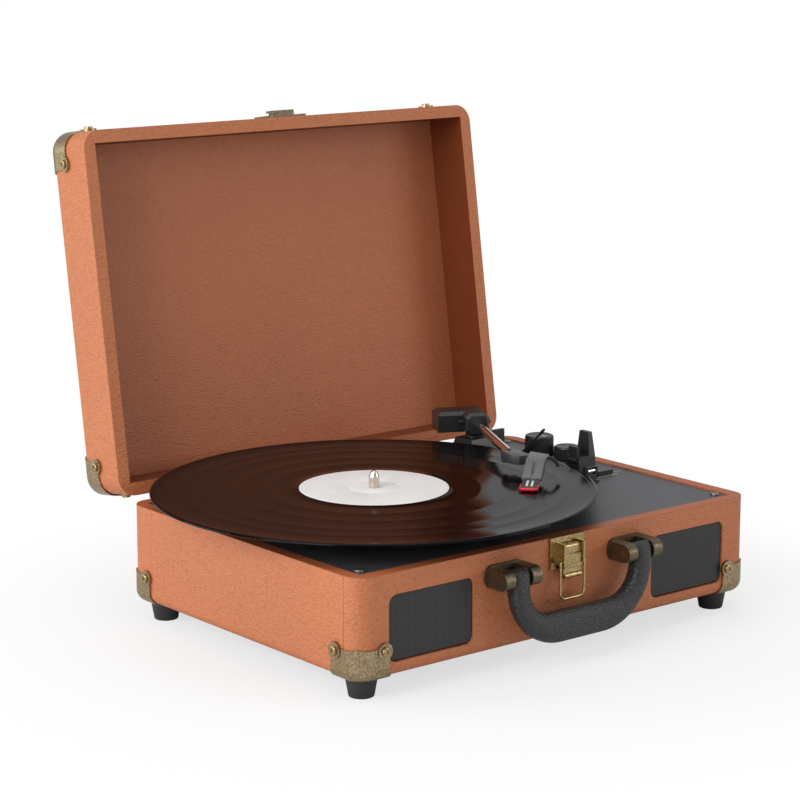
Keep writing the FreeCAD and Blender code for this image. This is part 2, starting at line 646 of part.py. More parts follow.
# ----------------------------------------------------------------------------- speakers
for side, sign in SIDES:
    grille = shaped(side + "_grille_plate",
                    rounded_plate(num("grilleWidth - 2 * grilleGap"), num("grilleHeight - 2 * grilleGap"),
                                  num("grilleThickness"), num("grilleRadius - grilleGap")))
    grille.Label = side + "_grille"
    bind_base(grille, f"shiftX + {sign} * grilleOffset", "shiftY - frontY + grilleSink + grilleThickness",
              "grilleZ")
    NODES.append(grille)

    x = f"{sign} * grilleOffset"
    flange = rod(side + "_flange", "speakerRadius", "2", x, "0 - innerY", "grilleZ", "Y")
    basket = taper(side + "_basket", "speakerRadius - 3", "magnetRadius + 1", "speakerDepth - 2", x,
                   "2 - innerY", "grilleZ", "Y")
    bowl = taper(side + "_bowl", "speakerRadius - 4.5", "magnetRadius - 1", "speakerDepth - 1.5", x,
                 "0 - innerY - 0.5", "grilleZ", "Y")
    node(cut(side + "_frame_cut", fuse(side + "_frame_body", [flange, basket]), [bowl]),
         side + "_speaker_frame")
    cone_out = taper(side + "_cone_out", "speakerRadius - 5.2", "6", "speakerDepth - 5", x,
                     "0.4 - innerY", "grilleZ", "Y")
    cone_in = taper(side + "_cone_in", "speakerRadius - 6.2", "5", "speakerDepth - 5.8", x,
                    "0 - innerY + 0.39", "grilleZ", "Y")
    node(cut(side + "_cone_cut", cone_out, [cone_in]), side + "_speaker_cone")
node(group("magnet_group", [
    rod(side + "_magnet", "magnetRadius", "magnetDepth", f"{sign} * grilleOffset",
        "speakerDepth - innerY", "grilleZ", "Y") for side, sign in SIDES]), "speaker_magnets")

# ----------------------------------------------------------------------------- platter and drive
bush_body = rod("bush_body", "bushRadius", "bushProud + deckThickness + bushDepth", "spindleX", "spindleY",
                "deckUnder - bushDepth")
bush_flange = rod("bush_flange", "bushRadius + 6", "3", "spindleX", "spindleY", "deckUnder - 3")
bush_bore = rod("bush_bore", "spindleRadius + runFit", "bushProud + deckThickness + bushDepth - 2 + 1",
                "spindleX", "spindleY", "deckUnder - bushDepth + 2")
node(cut("bush_cut", fuse("bush_solid", [bush_body, bush_flange]), [bush_bore]), "platter_bearing")

platter = turned("platter_body", [
    ("spindleRadius + seatFit", "ringDepth - 3"),
    ("10", "ringDepth - 3"),
    ("10", "ringDepth"),
    ("driveRadius - 3.5", "ringDepth"),
    ("driveRadius - 3.5", "0"),
    ("driveRadius", "0"),
    ("driveRadius", "ringDepth"),
    ("platterRadius - 3", "ringDepth"),
    ("platterRadius - 3", "ringDepth - skirtDepth"),
    ("platterRadius", "ringDepth - skirtDepth"),
    ("platterRadius", "ringDepth + platterThickness"),
    ("spindleRadius + seatFit", "ringDepth + platterThickness"),
])
platter.Label = "platter"
bind_base(platter, "shiftX + spindleX", "shiftY + spindleY", "platterUnder - ringDepth")
NODES.append(platter)

mat = turned("mat_body", [
    ("spindleRadius + seatFit", "0"),
    ("platterRadius - 2", "0"),
    ("platterRadius - 2", "matThickness"),
    ("spindleRadius + seatFit", "matThickness"),
])
mat.Label = "slip_mat"
bind_base(mat, "shiftX + spindleX", "shiftY + spindleY", "platterTop")
NODES.append(mat)

spindle = turned("spindle_body", [
    ("0", "0"),
    ("spindleRadius - 0.6", "0"),
    ("spindleRadius", "0.6"),
    ("spindleRadius", "recordTop + spindleProud - deckUnder + bushDepth - 2.3 - 4"),
    ("spindleRadius - 1.2", "recordTop + spindleProud - deckUnder + bushDepth - 2.3 - 1"),
    ("spindleRadius - 2.2", "recordTop + spindleProud - deckUnder + bushDepth - 2.3"),
    ("0", "recordTop + spindleProud - deckUnder + bushDepth - 2.3"),
])
spindle.Label = "spindle"
bind_base(spindle, "shiftX + spindleX", "shiftY + spindleY", "deckUnder - bushDepth + 2.3")
NODES.append(spindle)

disc = turned("record_body", [
    ("spindleRadius + 0.07", "0"),
    ("recordRadius - 0.5", "0"),
    ("recordRadius", "recordThickness * 0.35"),
    ("recordRadius", "recordThickness * 0.7"),
    ("recordRadius - 0.9", "recordThickness"),
    ("recordRadius - beadWidth + 1", "recordThickness"),
    ("recordRadius - beadWidth", "recordThickness - grooveDip"),
    ("labelRadius + 1.5", "recordThickness - grooveDip"),
    ("labelRadius + 0.6", "recordThickness"),
    ("labelRadius", "recordThickness"),
    ("labelRadius", "recordThickness - labelThickness"),
    ("spindleRadius + 0.07", "recordThickness - labelThickness"),
])
disc.Label = "record"
bind_base(disc, "shiftX + spindleX", "shiftY + spindleY", "recordUnder")
NODES.append(disc)

label = turned("label_body", [
    ("spindleRadius + 0.07", "0"),
    ("labelRadius - 0.1", "0"),
    ("labelRadius - 0.1", "labelThickness"),
    ("spindleRadius + 0.07", "labelThickness"),
])
label.Label = "record_label"
bind_base(label, "shiftX + spindleX", "shiftY + spindleY", "recordTop - labelThickness")
NODES.append(label)

BELT_Z = "platterUnder - ringDepth / 2 - beltHeight / 2 - 1"
pulley_body = rod("pulley_body", "pulleyRadius", "beltHeight + 2", "motorX", "motorY", BELT_Z + " - 1")
pulley_cap = rod("pulley_cap", "pulleyRadius + 1.2", "1", "motorX", "motorY", BELT_Z + " + beltHeight + 1")
motor_shaft = rod("motor_shaft", "motorShaftRadius", f"{BELT_Z} + beltHeight + 8 - deckUnder", "motorX", "motorY",
                  "deckUnder - 6")
node(fuse("pulley_solid", [pulley_body, pulley_cap, motor_shaft]), "motor_pulley")

motor_can = rod("motor_can", "motorRadius", "motorHeight", "motorX", "motorY",
                "deckUnder - motorHeight - 1.5")
motor_plate = box("motor_plate", "2 * motorRadius + 14", "16", "1.5", "motorX", "motorY", "deckUnder - 1.5")
motor_bore = rod("motor_bore", "motorShaftRadius + runFit", "8", "motorX", "motorY", "deckUnder - 7")
node(cut("motor_cut", fuse("motor_solid", [motor_can, motor_plate]), [motor_bore]), "motor")


def belt_outline(large, small, distance):
    """The taut loop round two wheels on the X axis, at the origin and at distance."""
    lean = math.acos((large - small) / distance)
    start = Vector(large * math.cos(lean), large * math.sin(lean), 0)
    far = Vector(distance + small * math.cos(lean), small * math.sin(lean), 0)
    mirror_start = Vector(start.x, -start.y, 0)
    mirror_far = Vector(far.x, -far.y, 0)
    return Part.Wire([
        Part.makeLine(start, far),
        Part.Arc(far, Vector(distance + small, 0, 0), mirror_far).toShape(),
        Part.makeLine(mirror_far, mirror_start),
        Part.Arc(mirror_start, Vector(-large, 0, 0), start).toShape(),
    ])


run_gap = num("beltGap")
belt_t = num("beltThickness")
belt_inner = belt_outline(num("driveRadius") + run_gap, num("pulleyRadius") + run_gap, num("pulleyDistance"))
belt_outer = belt_outline(num("driveRadius") + run_gap + belt_t, num("pulleyRadius") + run_gap + belt_t,
                          num("pulleyDistance"))
belt_height = Vector(0, 0, num("beltHeight"))
belt_solid = Part.Face(belt_outer).extrude(belt_height)
belt = shaped("belt_loop", belt_solid.cut(Part.Face(belt_inner).extrude(belt_height)))
hinged_node(belt, "drive_belt", "spindleX", "spindleY", BELT_Z, Vector(0, 0, 1), "pulleyAngle")

# ----------------------------------------------------------------------------- boards and rear jacks
board = box("control_board_plate", "34", "62", "1.6", "145", "42", "deckUnder - 12")
pots = []
for name in ("A", "B"):
    pots.append(rod("pot_" + name, "8", "10.4", f"knob{name}X", f"knob{name}Y", "deckUnder - 10.4"))
pot_bores = [rod("pot_bore_" + name, "knobShaftRadius + runFit", "8.4", f"knob{name}X", f"knob{name}Y",
                 "deckUnder - 8.4 + 0.1") for name in ("A", "B")]
node(cut("control_cut", fuse("control_solid", [board] + pots), pot_bores), "control_board")

amp_plate = box("amp_plate", "100", "56", "1.6", "0", "innerY - 40", "footHeight + bottomThickness + 5")
amp_posts = [rod("amp_post", "3", "5", f"{sx} * 44", f"innerY - 40 + {sy} * 22", "footHeight + bottomThickness")
             for sx in (-1, 1) for sy in (-1, 1)]
amp_parts = [rod("amp_capacitor", "6", "14", "-20", "innerY - 45", "footHeight + bottomThickness + 6.6"),
             box("amp_heat_sink", "24", "8", "16", "15", "innerY - 50", "footHeight + bottomThickness + 6.6"),
             box("amp_chip", "12", "12", "3", "-2", "innerY - 26", "footHeight + bottomThickness + 6.6")]
node(fuse("amp_solid", [amp_plate] + amp_posts + amp_parts), "amplifier_board")

JACK_Z = "footHeight + 19 + jackHeight / 2 - 3"
jack_face = box("jack_face", "jackWidth", "2", "jackHeight", "0", "frontY + 1", JACK_Z + " - jackHeight / 2")
jack_holes = [rod("jack_hole", "4.6", "6", f"{x}", "frontY - 2", JACK_Z, "Y") for x in (-30, -14, 2, 16, 31)]
node(cut("jack_cut", jack_face, jack_holes), "jack_panel")
jacks = []
for x in (-30, -14, 2, 16):
    barrel = rod("jack_barrel", "4.5", "wall + 5", f"{x}", "frontY - wall - 1", JACK_Z, "Y")
    jacks.append(cut("jack", barrel, [rod("jack_bore", "2.2", "10", f"{x}", "frontY - 5", JACK_Z, "Y")]))
node(group("jack_group", jacks), "audio_jacks")
inlet = rod("inlet_barrel", "4.5", "wall + 3.5", "31", "frontY - wall - 1", JACK_Z, "Y")
inlet_bore = rod("inlet_bore", "2.75", "9", "31", "frontY - 6", JACK_Z, "Y")
inlet_pin = rod("inlet_pin", "1", "7", "31", "frontY - 7", JACK_Z, "Y")
node(fuse("inlet_solid", [cut("inlet_cut", inlet, [inlet_bore]), inlet_pin]), "dc_inlet")

# ----------------------------------------------------------------------------- front handle
plates = []
for side, sign in SIDES:
    plate = shaped(side + "_handle_plate", rounded_plate(
        num("handlePlateWidth"), num("handlePlateHeight"), num("handlePlateThickness"),
        num("handlePlateHeight") * 0.45))
    plate.Placement = Placement(Vector(sign * num("handleSpan"), -num("frontY"), num("handleZ")), Rotation())
    solids = [plate]
    for way in (-1, 1):
        middle = f"{sign} * handleSpan + {way} * (handleEndWidth / 2 + slackFit + earThickness / 2)"
        solids.append(box(side + "_ear", "earThickness", "handleAxisOut", "2 * earRadius", middle,
                          "0 - frontY - handleAxisOut / 2", "handleZ - earRadius"))
        solids.append(rod(side + "_ear_round", "earRadius", "earThickness", middle + " - earThickness / 2",
                          "0 - handleY", "handleZ", "X"))
    bore = rod(side + "_ear_bore", "handlePinRadius + seatFit", "handleEndWidth + 4 * earThickness",
               f"{sign} * handleSpan - handleEndWidth / 2 - 2 * earThickness", "0 - handleY", "handleZ", "X")
    plates.append(cut(side + "_handle_bracket", fuse(side + "_bracket_solid", solids), [bore]))
node(group("handle_bracket_group", plates), "handle_brackets")

PIN_LENGTH = "handleEndWidth + 2 * slackFit + 2 * earThickness"
node(group("handle_pin_group", [
    rod(side + "_handle_pin", "handlePinRadius", PIN_LENGTH,
        f"{sign} * handleSpan - ({PIN_LENGTH}) / 2", "0 - handleY", "handleZ", "X")
    for side, sign in SIDES]), "handle_pins")


def bend(centre, radius, start, end):
    """An arc in the X-Z plane about centre, between two directions in degrees."""
    points = []
    for angle in (start, (start + end) / 2, end):
        turn = math.radians(angle)
        points.append(centre + Vector(radius * math.cos(turn), 0, radius * math.sin(turn)))
    return Part.Arc(*points).toShape()


def handle_shape():
    """The padded handle about its pivot line: a U that hangs down, with its thickness along Y."""
    span = num("handleSpan")
    half_end = num("handleEndWidth") / 2
    end_in = span - half_end
    end_out = span + half_end
    drop = num("handleDrop")
    floor = drop - num("gripHeight")
    top = num("earRadius")
    outer = num("handleBendOuter")
    inner = num("handleBendInner")
    thick = num("handleThickness")
    back = thick / 2
    right_out = Vector(end_out - outer, back, outer - drop)
    left_out = Vector(outer - end_out, back, outer - drop)
    right_in = Vector(end_in - inner, back, inner - floor)
    left_in = Vector(inner - end_in, back, inner - floor)
    ring = [
        Part.makeLine(Vector(end_in, back, top), Vector(end_out, back, top)),
        Part.makeLine(Vector(end_out, back, top), Vector(end_out, back, right_out.z)),
        bend(right_out, outer, 0, -90),
        Part.makeLine(Vector(right_out.x, back, -drop), Vector(left_out.x, back, -drop)),
        bend(left_out, outer, -90, -180),
        Part.makeLine(Vector(-end_out, back, left_out.z), Vector(-end_out, back, top)),
        Part.makeLine(Vector(-end_out, back, top), Vector(-end_in, back, top)),
        Part.makeLine(Vector(-end_in, back, top), Vector(-end_in, back, left_in.z)),
        bend(left_in, inner, -180, -90),
        Part.makeLine(Vector(left_in.x, back, -floor), Vector(right_in.x, back, -floor)),
        bend(right_in, inner, -90, 0),
        Part.makeLine(Vector(end_in, back, right_in.z), Vector(end_in, back, top)),
    ]
    solid = Part.Face(Part.Wire(ring)).extrude(Vector(0, -thick, 0))
    solid = solid.makeFillet(top, [edge for edge in solid.Edges if edge.BoundBox.ZMin > top - 1e-6
                                   and edge.BoundBox.YLength < 1e-6])
    rims = [edge for edge in solid.Edges if edge.BoundBox.YLength < 1e-6
            and edge.BoundBox.ZMax < 0.1]
    solid = solid.makeFillet(num("handleRim"), rims)
    for sign in (-1, 1):
        bore = Part.makeCylinder(num("handlePinRadius + runFit"), 4 * half_end,
                                 Vector(sign * span - 2 * half_end, 0, 0), Vector(1, 0, 0))
        solid = solid.cut(bore)
    return solid


handle = shaped("handle_solid", handle_shape())
handle.Label = "handle_grip"
bind_base(handle, "shiftX", "shiftY - handleY", "handleZ")
NODES.append(handle)

# ----------------------------------------------------------------------------- latch
latch_back = box("latch_back", "latchWidth", "latchThickness", "latchHeight", "0",
                 "0 - frontY - latchThickness / 2", "rimZ - latchHeight")
latch_ears = [box("latch_ear", "1.4", "bailPivotOut + 2", "leverZ - bailZ + 5.5",
                  f"{sx} * (leverWidth / 2 + slackFit + 0.7)", "0 - frontY - (bailPivotOut + 2) / 2",
                  "bailZ - 2.5") for sx in (-1, 1)]
latch_pin = rod("latch_pin", "0.9", "leverWidth + 2 * slackFit + 2.8",
                "0 - leverWidth / 2 - slackFit - 1.4", "0 - leverY", "leverZ", "X")
loop_bore = rod("loop_bore", "wireRadius + runFit", "latchWidth", "0 - latchWidth / 2", "0 - bailY", "bailZ", "X")
node(cut("latch_cut", fuse("latch_solid", [latch_back, latch_pin] + latch_ears), [loop_bore]), "latch_plate")


def lever_shape():
    """The fluted latch lever about its pivot, hanging down, with a rolled end below the plate."""
    width = num("leverWidth")
    thick = num("leverThickness")
    reach = num("leverReach")
    hub_radius = 2.1
    roll = 1.9
    blade_end = reach - 2 * roll - 3.2
    profile = [(0, 2), (-hub_radius, 0), (-hub_radius, -4), (-hub_radius - 1, -4.8),
               (-hub_radius - 1, -blade_end), (-hub_radius - 0.2, -blade_end - 0.6),
               (-hub_radius - 0.2, -reach + roll), (-hub_radius + 1.2, -reach + roll),
               (-hub_radius + 1.2, -blade_end), (-hub_radius + thick, -blade_end + 1.5),
               (-hub_radius + thick, 0)]
    wire = Part.makePolygon([Vector(-width / 2, y, z) for y, z in profile + profile[:1]])
    blade = Part.Face(wire).extrude(Vector(width, 0, 0))
    hub = Part.makeCylinder(hub_radius, width, Vector(-width / 2, 0, 0), Vector(1, 0, 0))
    rolled = Part.makeCylinder(roll, width - 0.6, Vector(-width / 2 + 0.3, -roll, -reach + roll),
                               Vector(1, 0, 0))
    solid = blade.fuse([hub, rolled])
    flutes = 5
    for i in range(flutes):
        place = -width / 2 + 2.2 + i * (width - 4.4) / (flutes - 1)
        flute = Part.makeCylinder(0.8, blade_end - 7.2, Vector(place, -hub_radius - 1.25, -blade_end - 1),
                                  Vector(0, 0, 1))
        solid = solid.cut(flute)
    pin_bore = Part.makeCylinder(0.9 + num("runFit"), width + 2, Vector(-width / 2 - 1, 0, 0), Vector(1, 0, 0))
    return solid.cut(pin_bore).removeSplitter()


lever = shaped("lever_solid", lever_shape())
lever.Label = "latch_lever"
bind_base(lever, "shiftX", "shiftY - leverY", "leverZ")
NODES.append(lever)


def bail_shape():
    """The wire loop about its pivot, hanging down, with its ends turned in to the latch ears."""
    half = num("bailWidth / 2 - wireRadius")
    drop = num("bailDrop")
    radius = num("wireRadius")
    end = num("leverWidth / 2 + slackFit + 0.1")
    top_bend = num("bailTopBend")
    low_bend = num("bailLowBend")
    upper = half - top_bend
    lower = half - low_bend
    path = Part.Wire([
        Part.makeLine(Vector(-end, 0, 0), Vector(-upper, 0, 0)),
        bend(Vector(-upper, 0, -top_bend), top_bend, 90, 180),
        Part.makeLine(Vector(-half, 0, -top_bend), Vector(-half, 0, low_bend - drop)),
        bend(Vector(-lower, 0, low_bend - drop), low_bend, 180, 270),
        Part.makeLine(Vector(-lower, 0, -drop), Vector(lower, 0, -drop)),
        bend(Vector(lower, 0, low_bend - drop), low_bend, -90, 0),
        Part.makeLine(Vector(half, 0, low_bend - drop), Vector(half, 0, -top_bend)),
        bend(Vector(upper, 0, -top_bend), top_bend, 0, 90),
        Part.makeLine(Vector(upper, 0, 0), Vector(end, 0, 0)),
    ])
    section = Part.Wire(Part.makeCircle(radius, Vector(-end, 0, 0), Vector(1, 0, 0)))
    return path.makePipeShell([section], True, False)


bail = shaped("bail_solid", bail_shape())
bail.Label = "latch_bail"
bind_base(bail, "shiftX", "shiftY - bailY", "bailZ")
NODES.append(bail)

# ----------------------------------------------------------------------------- lid, modelled closed about its hinge
LID_Y = "0 - hingeBehind - frontY"


def lid_node(obj, label):
    return hinged_node(obj, label, "0", "hingeY", "hingeZ", Vector(1, 0, 0), "0 - 90 - lidLean")


lid_block, _ = case_box("lid_block", "lidHeight", "0 - 1", "lidHeight - lidSkin + 1", "lidHeight")
bind_base(lid_block, "0", LID_Y, "hingeBelow")
lid_copy = group("lid_holder", [lid_block])
lid_node(lid_copy, "lid_shell")
panel = box("lining", "caseWidth - 2 * wall - 0.2", "caseDepth - 2 * wall - 0.2", "lidLining", "0", LID_Y,
            "hingeBelow + lidHeight - lidSkin - lidLining - seatFit")
lid_node(group("lining_holder", [panel]), "lid_panel")

lid_top = num("hingeBelow + lidHeight")
lid_corners = [(sx, sy, sx * num("sideX"), num(LID_Y) + sy * num("frontY")) for sx, sy in base_corners]
lid_node(group("lid_bracket_group", [
    shaped("lid_bracket", at_corner(bracket, sx, sy, x, y, lid_top, True))
    for sx, sy, x, y in lid_corners]), "lid_corner_brackets")
lid_node(group("lid_screw_group", [
    shaped("lid_bracket_screw", at_corner(screw, sx, sy, x, y, lid_top, True))
    for sx, sy, x, y in lid_corners for screw in bracket_screws]), "lid_bracket_screws")

STRIKE_Y = "0 - hingeBehind - caseDepth"
strike_plate = box("strike_plate", "36", "1.5", "14", "0", STRIKE_Y + " - 0.75", "hingeBelow + 1")
strike_block = box("strike_block", "19", "5.2", "5", "0", STRIKE_Y + " - 2.6", "hingeBelow + 4")
strike_lip = box("strike_lip", "19", "1.6", "8", "0", STRIKE_Y + " - 5.2 - 0.8 + 1.6", "hingeBelow + 4")
lid_node(fuse("strike_solid", [strike_plate, strike_block, strike_lip]), "lid_strike")

# ----------------------------------------------------------------------------- hinges
base_leaves = []
lid_leaves = []
pins = []
for side, sign in SIDES:
    x = f"{sign} * hingeOffset"
    base_barrels = [rod(side + "_base_barrel", "hingeBarrelRadius", "hingeLength / 3 - 0.3",
                        f"{x} + {way} * hingeLength / 3 - hingeLength / 6 + 0.15", "hingeY", "hingeZ", "X")
                    for way in (-1, 1)]
    base_leaf = box(side + "_base_leaf", "hingeLength", "leafThickness", "18", x,
                    "frontY + leafThickness / 2", "hingeZ - 18")
    base_webs = [box(side + "_base_web", "hingeLength / 3 - 0.3", "hingeBehind", "1.6",
                     f"{x} + {way} * hingeLength / 3", "frontY + hingeBehind / 2",
                     "hingeZ - hingeBarrelRadius") for way in (-1, 1)]
    base_bore = rod(side + "_base_bore", "hingePinRadius + seatFit", "hingeLength + 2",
                    f"{x} - hingeLength / 2 - 1", "hingeY", "hingeZ", "X")
    base_leaves.append(cut(side + "_base_hinge",
                           fuse(side + "_base_hinge_solid", base_barrels + base_webs + [base_leaf]),
                           [base_bore]))
    pins.append(rod(side + "_hinge_pin", "hingePinRadius", "hingeLength", f"{x} - hingeLength / 2",
                    "hingeY", "hingeZ", "X"))
    lid_barrel = rod(side + "_lid_barrel", "hingeBarrelRadius", "hingeLength / 3 - 0.3",
                     f"{x} - hingeLength / 6 + 0.15", "0", "0", "X")
    lid_leaf = box(side + "_lid_leaf", "hingeLength / 3 - 0.3", "leafThickness", "hingeBelow + 18", x,
                   "0 - hingeBehind + leafThickness / 2", "1")
    lid_web = box(side + "_lid_web", "hingeLength / 3 - 0.3", "hingeBehind", "1.6", x,
                  "0 - hingeBehind / 2", "hingeBarrelRadius - 1.6")
    lid_bore = rod(side + "_lid_bore", "hingePinRadius + runFit", "hingeLength + 2",
                   f"{x} - hingeLength / 2 - 1", "0", "0", "X")
    lid_leaves.append(cut(side + "_lid_hinge",
                          fuse(side + "_lid_hinge_solid", [lid_barrel, lid_leaf, lid_web]), [lid_bore]))
node(group("base_leaf_group", base_leaves), "hinge_base_leaves")
node(group("hinge_pin_group", pins), "hinge_pins")
lid_node(group("lid_leaf_group", lid_leaves), "hinge_lid_leaves")

# ----------------------------------------------------------------------------- tonearm base and rest
ARM_HUB_Z = "deckZ + pillarTop"


def pillar_shape():
    """The flared pillar under the tonearm about its axis, with its foot plate and rear fence."""
    height = num("pillarTop")

    def ring(half_x, half_y, z):
        corners = [(-half_x, -half_y), (half_x, -half_y), (half_x, half_y), (-half_x, half_y)]
        return Part.makePolygon([Vector(x, y, z) for x, y in corners + corners[:1]])

    pillar = Part.makeLoft([ring(17, 15, 0), ring(12, 11, height * 0.55), ring(10, 9, height)], True, True)
    stand = Part.makeBox(63, 38, 2, Vector(-17, -17, 0))
    fence = Part.makeBox(25, 3, 12.8, Vector(21, 18, 0))
    return pillar.fuse(stand).fuse(fence)


pillar = shaped("pillar_solid", pillar_shape())
bind_base(pillar, "armX", "armY", "deckZ")
pillar_stem = rod("pillar_stem", "tubeRadius + 2.9", "deckThickness + 10", "armX", "armY", "deckUnder - 10")
pillar_bore = rod("pillar_bore", "tubeRadius + runFit", "pillarTop + deckThickness + 9", "armX", "armY",
                  "deckUnder - 8")
node(cut("pillar_cut", fuse("pillar_all", [pillar, pillar_stem]), [pillar_bore]), "tonearm_base")


def rest_shape():
    """The arm rest about the middle of its foot: a tapered post with a seat that is open at the top."""
    seat = num("restSeat")
    top = num("restTop")

    def ring(left, right, front, back, z):
        corners = [(left, front), (right, front), (right, back), (left, back)]
        return Part.makePolygon([Vector(x, y, z) for x, y in corners + corners[:1]])

    post = Part.makeLoft([ring(-8, 9, -8, 8, 0), ring(-7, 8, -7, 6, seat)], True, True)
    prong = Part.makeLoft([ring(2.4, 8, -7, 6, seat), ring(3, 6.4, -5, 4, top)], True, True)
    foot = Part.makeBox(20, 18, 1.6, Vector(-9.5, -9, 0))
    slot = Part.makeBox(5.2, 9.3, 8, Vector(-9.1, -4.65, seat - 5.6))
    bore = Part.makeCylinder(1 + num("seatFit"), 30, Vector(-6, -15, seat - 3.2), Vector(0, 1, 0))
    return post.fuse(prong).fuse(foot).cut(slot).cut(bore).removeSplitter()


rest = shaped("rest_solid", rest_shape())
rest.Label = "arm_rest_post"
bind_base(rest, "shiftX + restX", "shiftY + restY", "deckZ")
NODES.append(rest)

# ----------------------------------------------------------------------------- tonearm, modelled about its pivot along +X
def arm_node(obj, label):
    return hinged_node(obj, label, "armX", "armY", "armZ", Vector(0, 0, 1), "armAngle")


def gimbal_shape():
    """The swivel: a shaft in the pillar, a turntable disc, a post and the tilt pin."""
    drop = num("armZ - deckZ - pillarTop")
    shaft = Part.makeCylinder(num("tubeRadius"), num("pillarTop + deckThickness + 7"),
                              Vector(0, 0, -drop + 0.3), Vector(0, 0, -1))
    disc_solid = Part.makeCylinder(6.5, 2.2, Vector(0, 0, -drop + 0.3))
    post = Part.makeBox(7, 9, drop + 2.7, Vector(-3.5, -4.5, -drop + 0.3))
    pin = Part.makeCylinder(1.5, 24, Vector(0, -12, 0), Vector(0, 1, 0))
    return shaft.fuse(disc_solid).fuse(post).fuse(pin).removeSplitter()


arm_node(shaped("gimbal_solid", gimbal_shape()), "arm_gimbal")


def housing_shape():
    """The tilting housing that carries the tube: a chamfered block with a faceted nose."""
    left = num("housingLeft")
    right = num("housingRight")
    back = num("housingBack")
    front = num("housingFront")
    half = num("housingHalf")
    block = Part.makeBox(back, left + right, 2 * half - 2, Vector(-back, -left, -half + 1))
    tops = [edge for edge in block.Edges if edge.BoundBox.ZLength < 1e-6 and edge.BoundBox.ZMax > 0]
    block = block.makeChamfer(2.5, tops)
    nose = Part.makeBox(front + 8, 2 * right, 2 * half, Vector(-8, -right, -half))
    corners = [edge for edge in nose.Edges if edge.BoundBox.XLength > front]
    nose = nose.makeChamfer(3.5, corners)
    front_rim = [edge for edge in nose.Edges if edge.BoundBox.XMin > front - 1e-6]
    nose = nose.makeChamfer(2, front_rim)
    solid = block.fuse(nose)
    well = Part.makeBox(15, 10, half + 4.6, Vector(-7.5, -5, -half - 0.5))
    lower = Part.makeBox(18, 14, 2, Vector(-9.5, -7, -half - 0.5))
    bore = Part.makeCylinder(1.5 + num("runFit"), 24.4, Vector(0, -12.2, 0), Vector(0, 1, 0))
    seat = Part.makeCylinder(num("tubeRadius + seatFit"), 10, Vector(8.5, 0, 0), Vector(1, 0, 0))
    return solid.cut(well).cut(lower).cut(bore).cut(seat).removeSplitter()


arm_node(shaped("housing_solid", housing_shape()), "arm_housing")
tube_outer = rod("tube_outer", "tubeRadius", "tubeEnd - 8.6", "8.6", "0", "0", "X")
tube_inner = rod("tube_inner", "tubeRadius - 0.6", "tubeEnd - 7", "8", "0", "0", "X")
arm_node(cut("tube_cut", tube_outer, [tube_inner]), "tonearm_tube")


def head_point(along, aside):
    """A point in the cartridge's own directions, from the front of its mount."""
    turn = math.radians(-num("headOffset"))
    return (num("headAlong") + along * math.cos(turn) - aside * math.sin(turn),
            num("headAside") + along * math.sin(turn) + aside * math.cos(turn))


def headshell_shape():
    """The headshell: a flat link from the tube to the angled cartridge mount, with a finger lift."""
    end = num("tubeEnd")
    half = num("cartWidth") / 2
    top = 3.0
    corners = [(end - 6, -5.2), (end + 4, -5.2), (end + 16, -0.6), head_point(-20, -half),
               head_point(-20, half), head_point(-46, half + 2), (end + 1.5, 9), (end - 6, 5.2)]
    wire = Part.makePolygon([Vector(x, y, -0.6) for x, y in corners + corners[:1]])
    plate = Part.Face(wire).extrude(Vector(0, 0, top + 0.6))
    socket = Part.makeBox(11, 10.4, top + 5.5, Vector(end - 6, -5.2, -5.5))
    web = [(end + 4.8, -5.2), (end + 16, -0.6), (end + 16, 2.4), (end + 4.8, 5.2)]
    skirt = Part.Face(Part.makePolygon([Vector(x, y, -4.5) for x, y in web + web[:1]]))
    skirt = skirt.extrude(Vector(0, 0, top + 4.5))
    bore = Part.makeCylinder(num("tubeRadius + seatFit"), 6.1, Vector(end - 6.1, 0, 0), Vector(1, 0, 0))
    hook = Part.makeBox(4, 3, 7, Vector(end - 1, -7.6, -6.5))
    lift = Part.makeBox(7, 6, 1.4, Vector(-31, half - 1, top - 1.4))
    tip = Part.makeBox(7, 9, 1.4)
    tip.rotate(Vector(), Vector(1, 0, 0), -38)
    tip.translate(Vector(-31, half + 4.5, top - 1.3))
    finger = lift.fuse(tip)
    finger.rotate(Vector(), Vector(0, 0, 1), -num("headOffset"))
    finger.translate(Vector(num("headAlong"), num("headAside"), 0))
    return plate.fuse([socket, skirt, hook, finger]).cut(bore).removeSplitter()


arm_node(shaped("headshell_solid", headshell_shape()), "headshell")


def head_solid(profile, half_width):
    """A solid from an outline of (along, up) points, as wide as the cartridge needs."""
    wire = Part.makePolygon([Vector(x, -half_width, z) for x, z in profile + profile[:1]])
    solid = Part.Face(wire).extrude(Vector(0, 2 * half_width, 0))
    solid.rotate(Vector(), Vector(0, 0, 1), -num("headOffset"))
    solid.translate(Vector(num("headAlong"), num("headAside"), 0))
    return solid


ARM_RISE = num("armAboveRecord + grooveDip")
cartridge_profile = [(-24, -0.6), (-20, -0.6), (-20, 3.0), (1.5, 5.5 - ARM_RISE), (1.5, 3.8 - ARM_RISE),
                     (-3, 2.8 - ARM_RISE), (-24, 5 - ARM_RISE)]
cart_solid = head_solid(cartridge_profile, num("cartWidth") / 2)
cart_slit = head_solid([(-16.5, 4), (-4, 9.5 - ARM_RISE), (-4, 6.5 - ARM_RISE), (-16.5, -0.4)], 0.5)
arm_node(shaped("cartridge_solid", cart_solid.cut(cart_slit)), "cartridge")

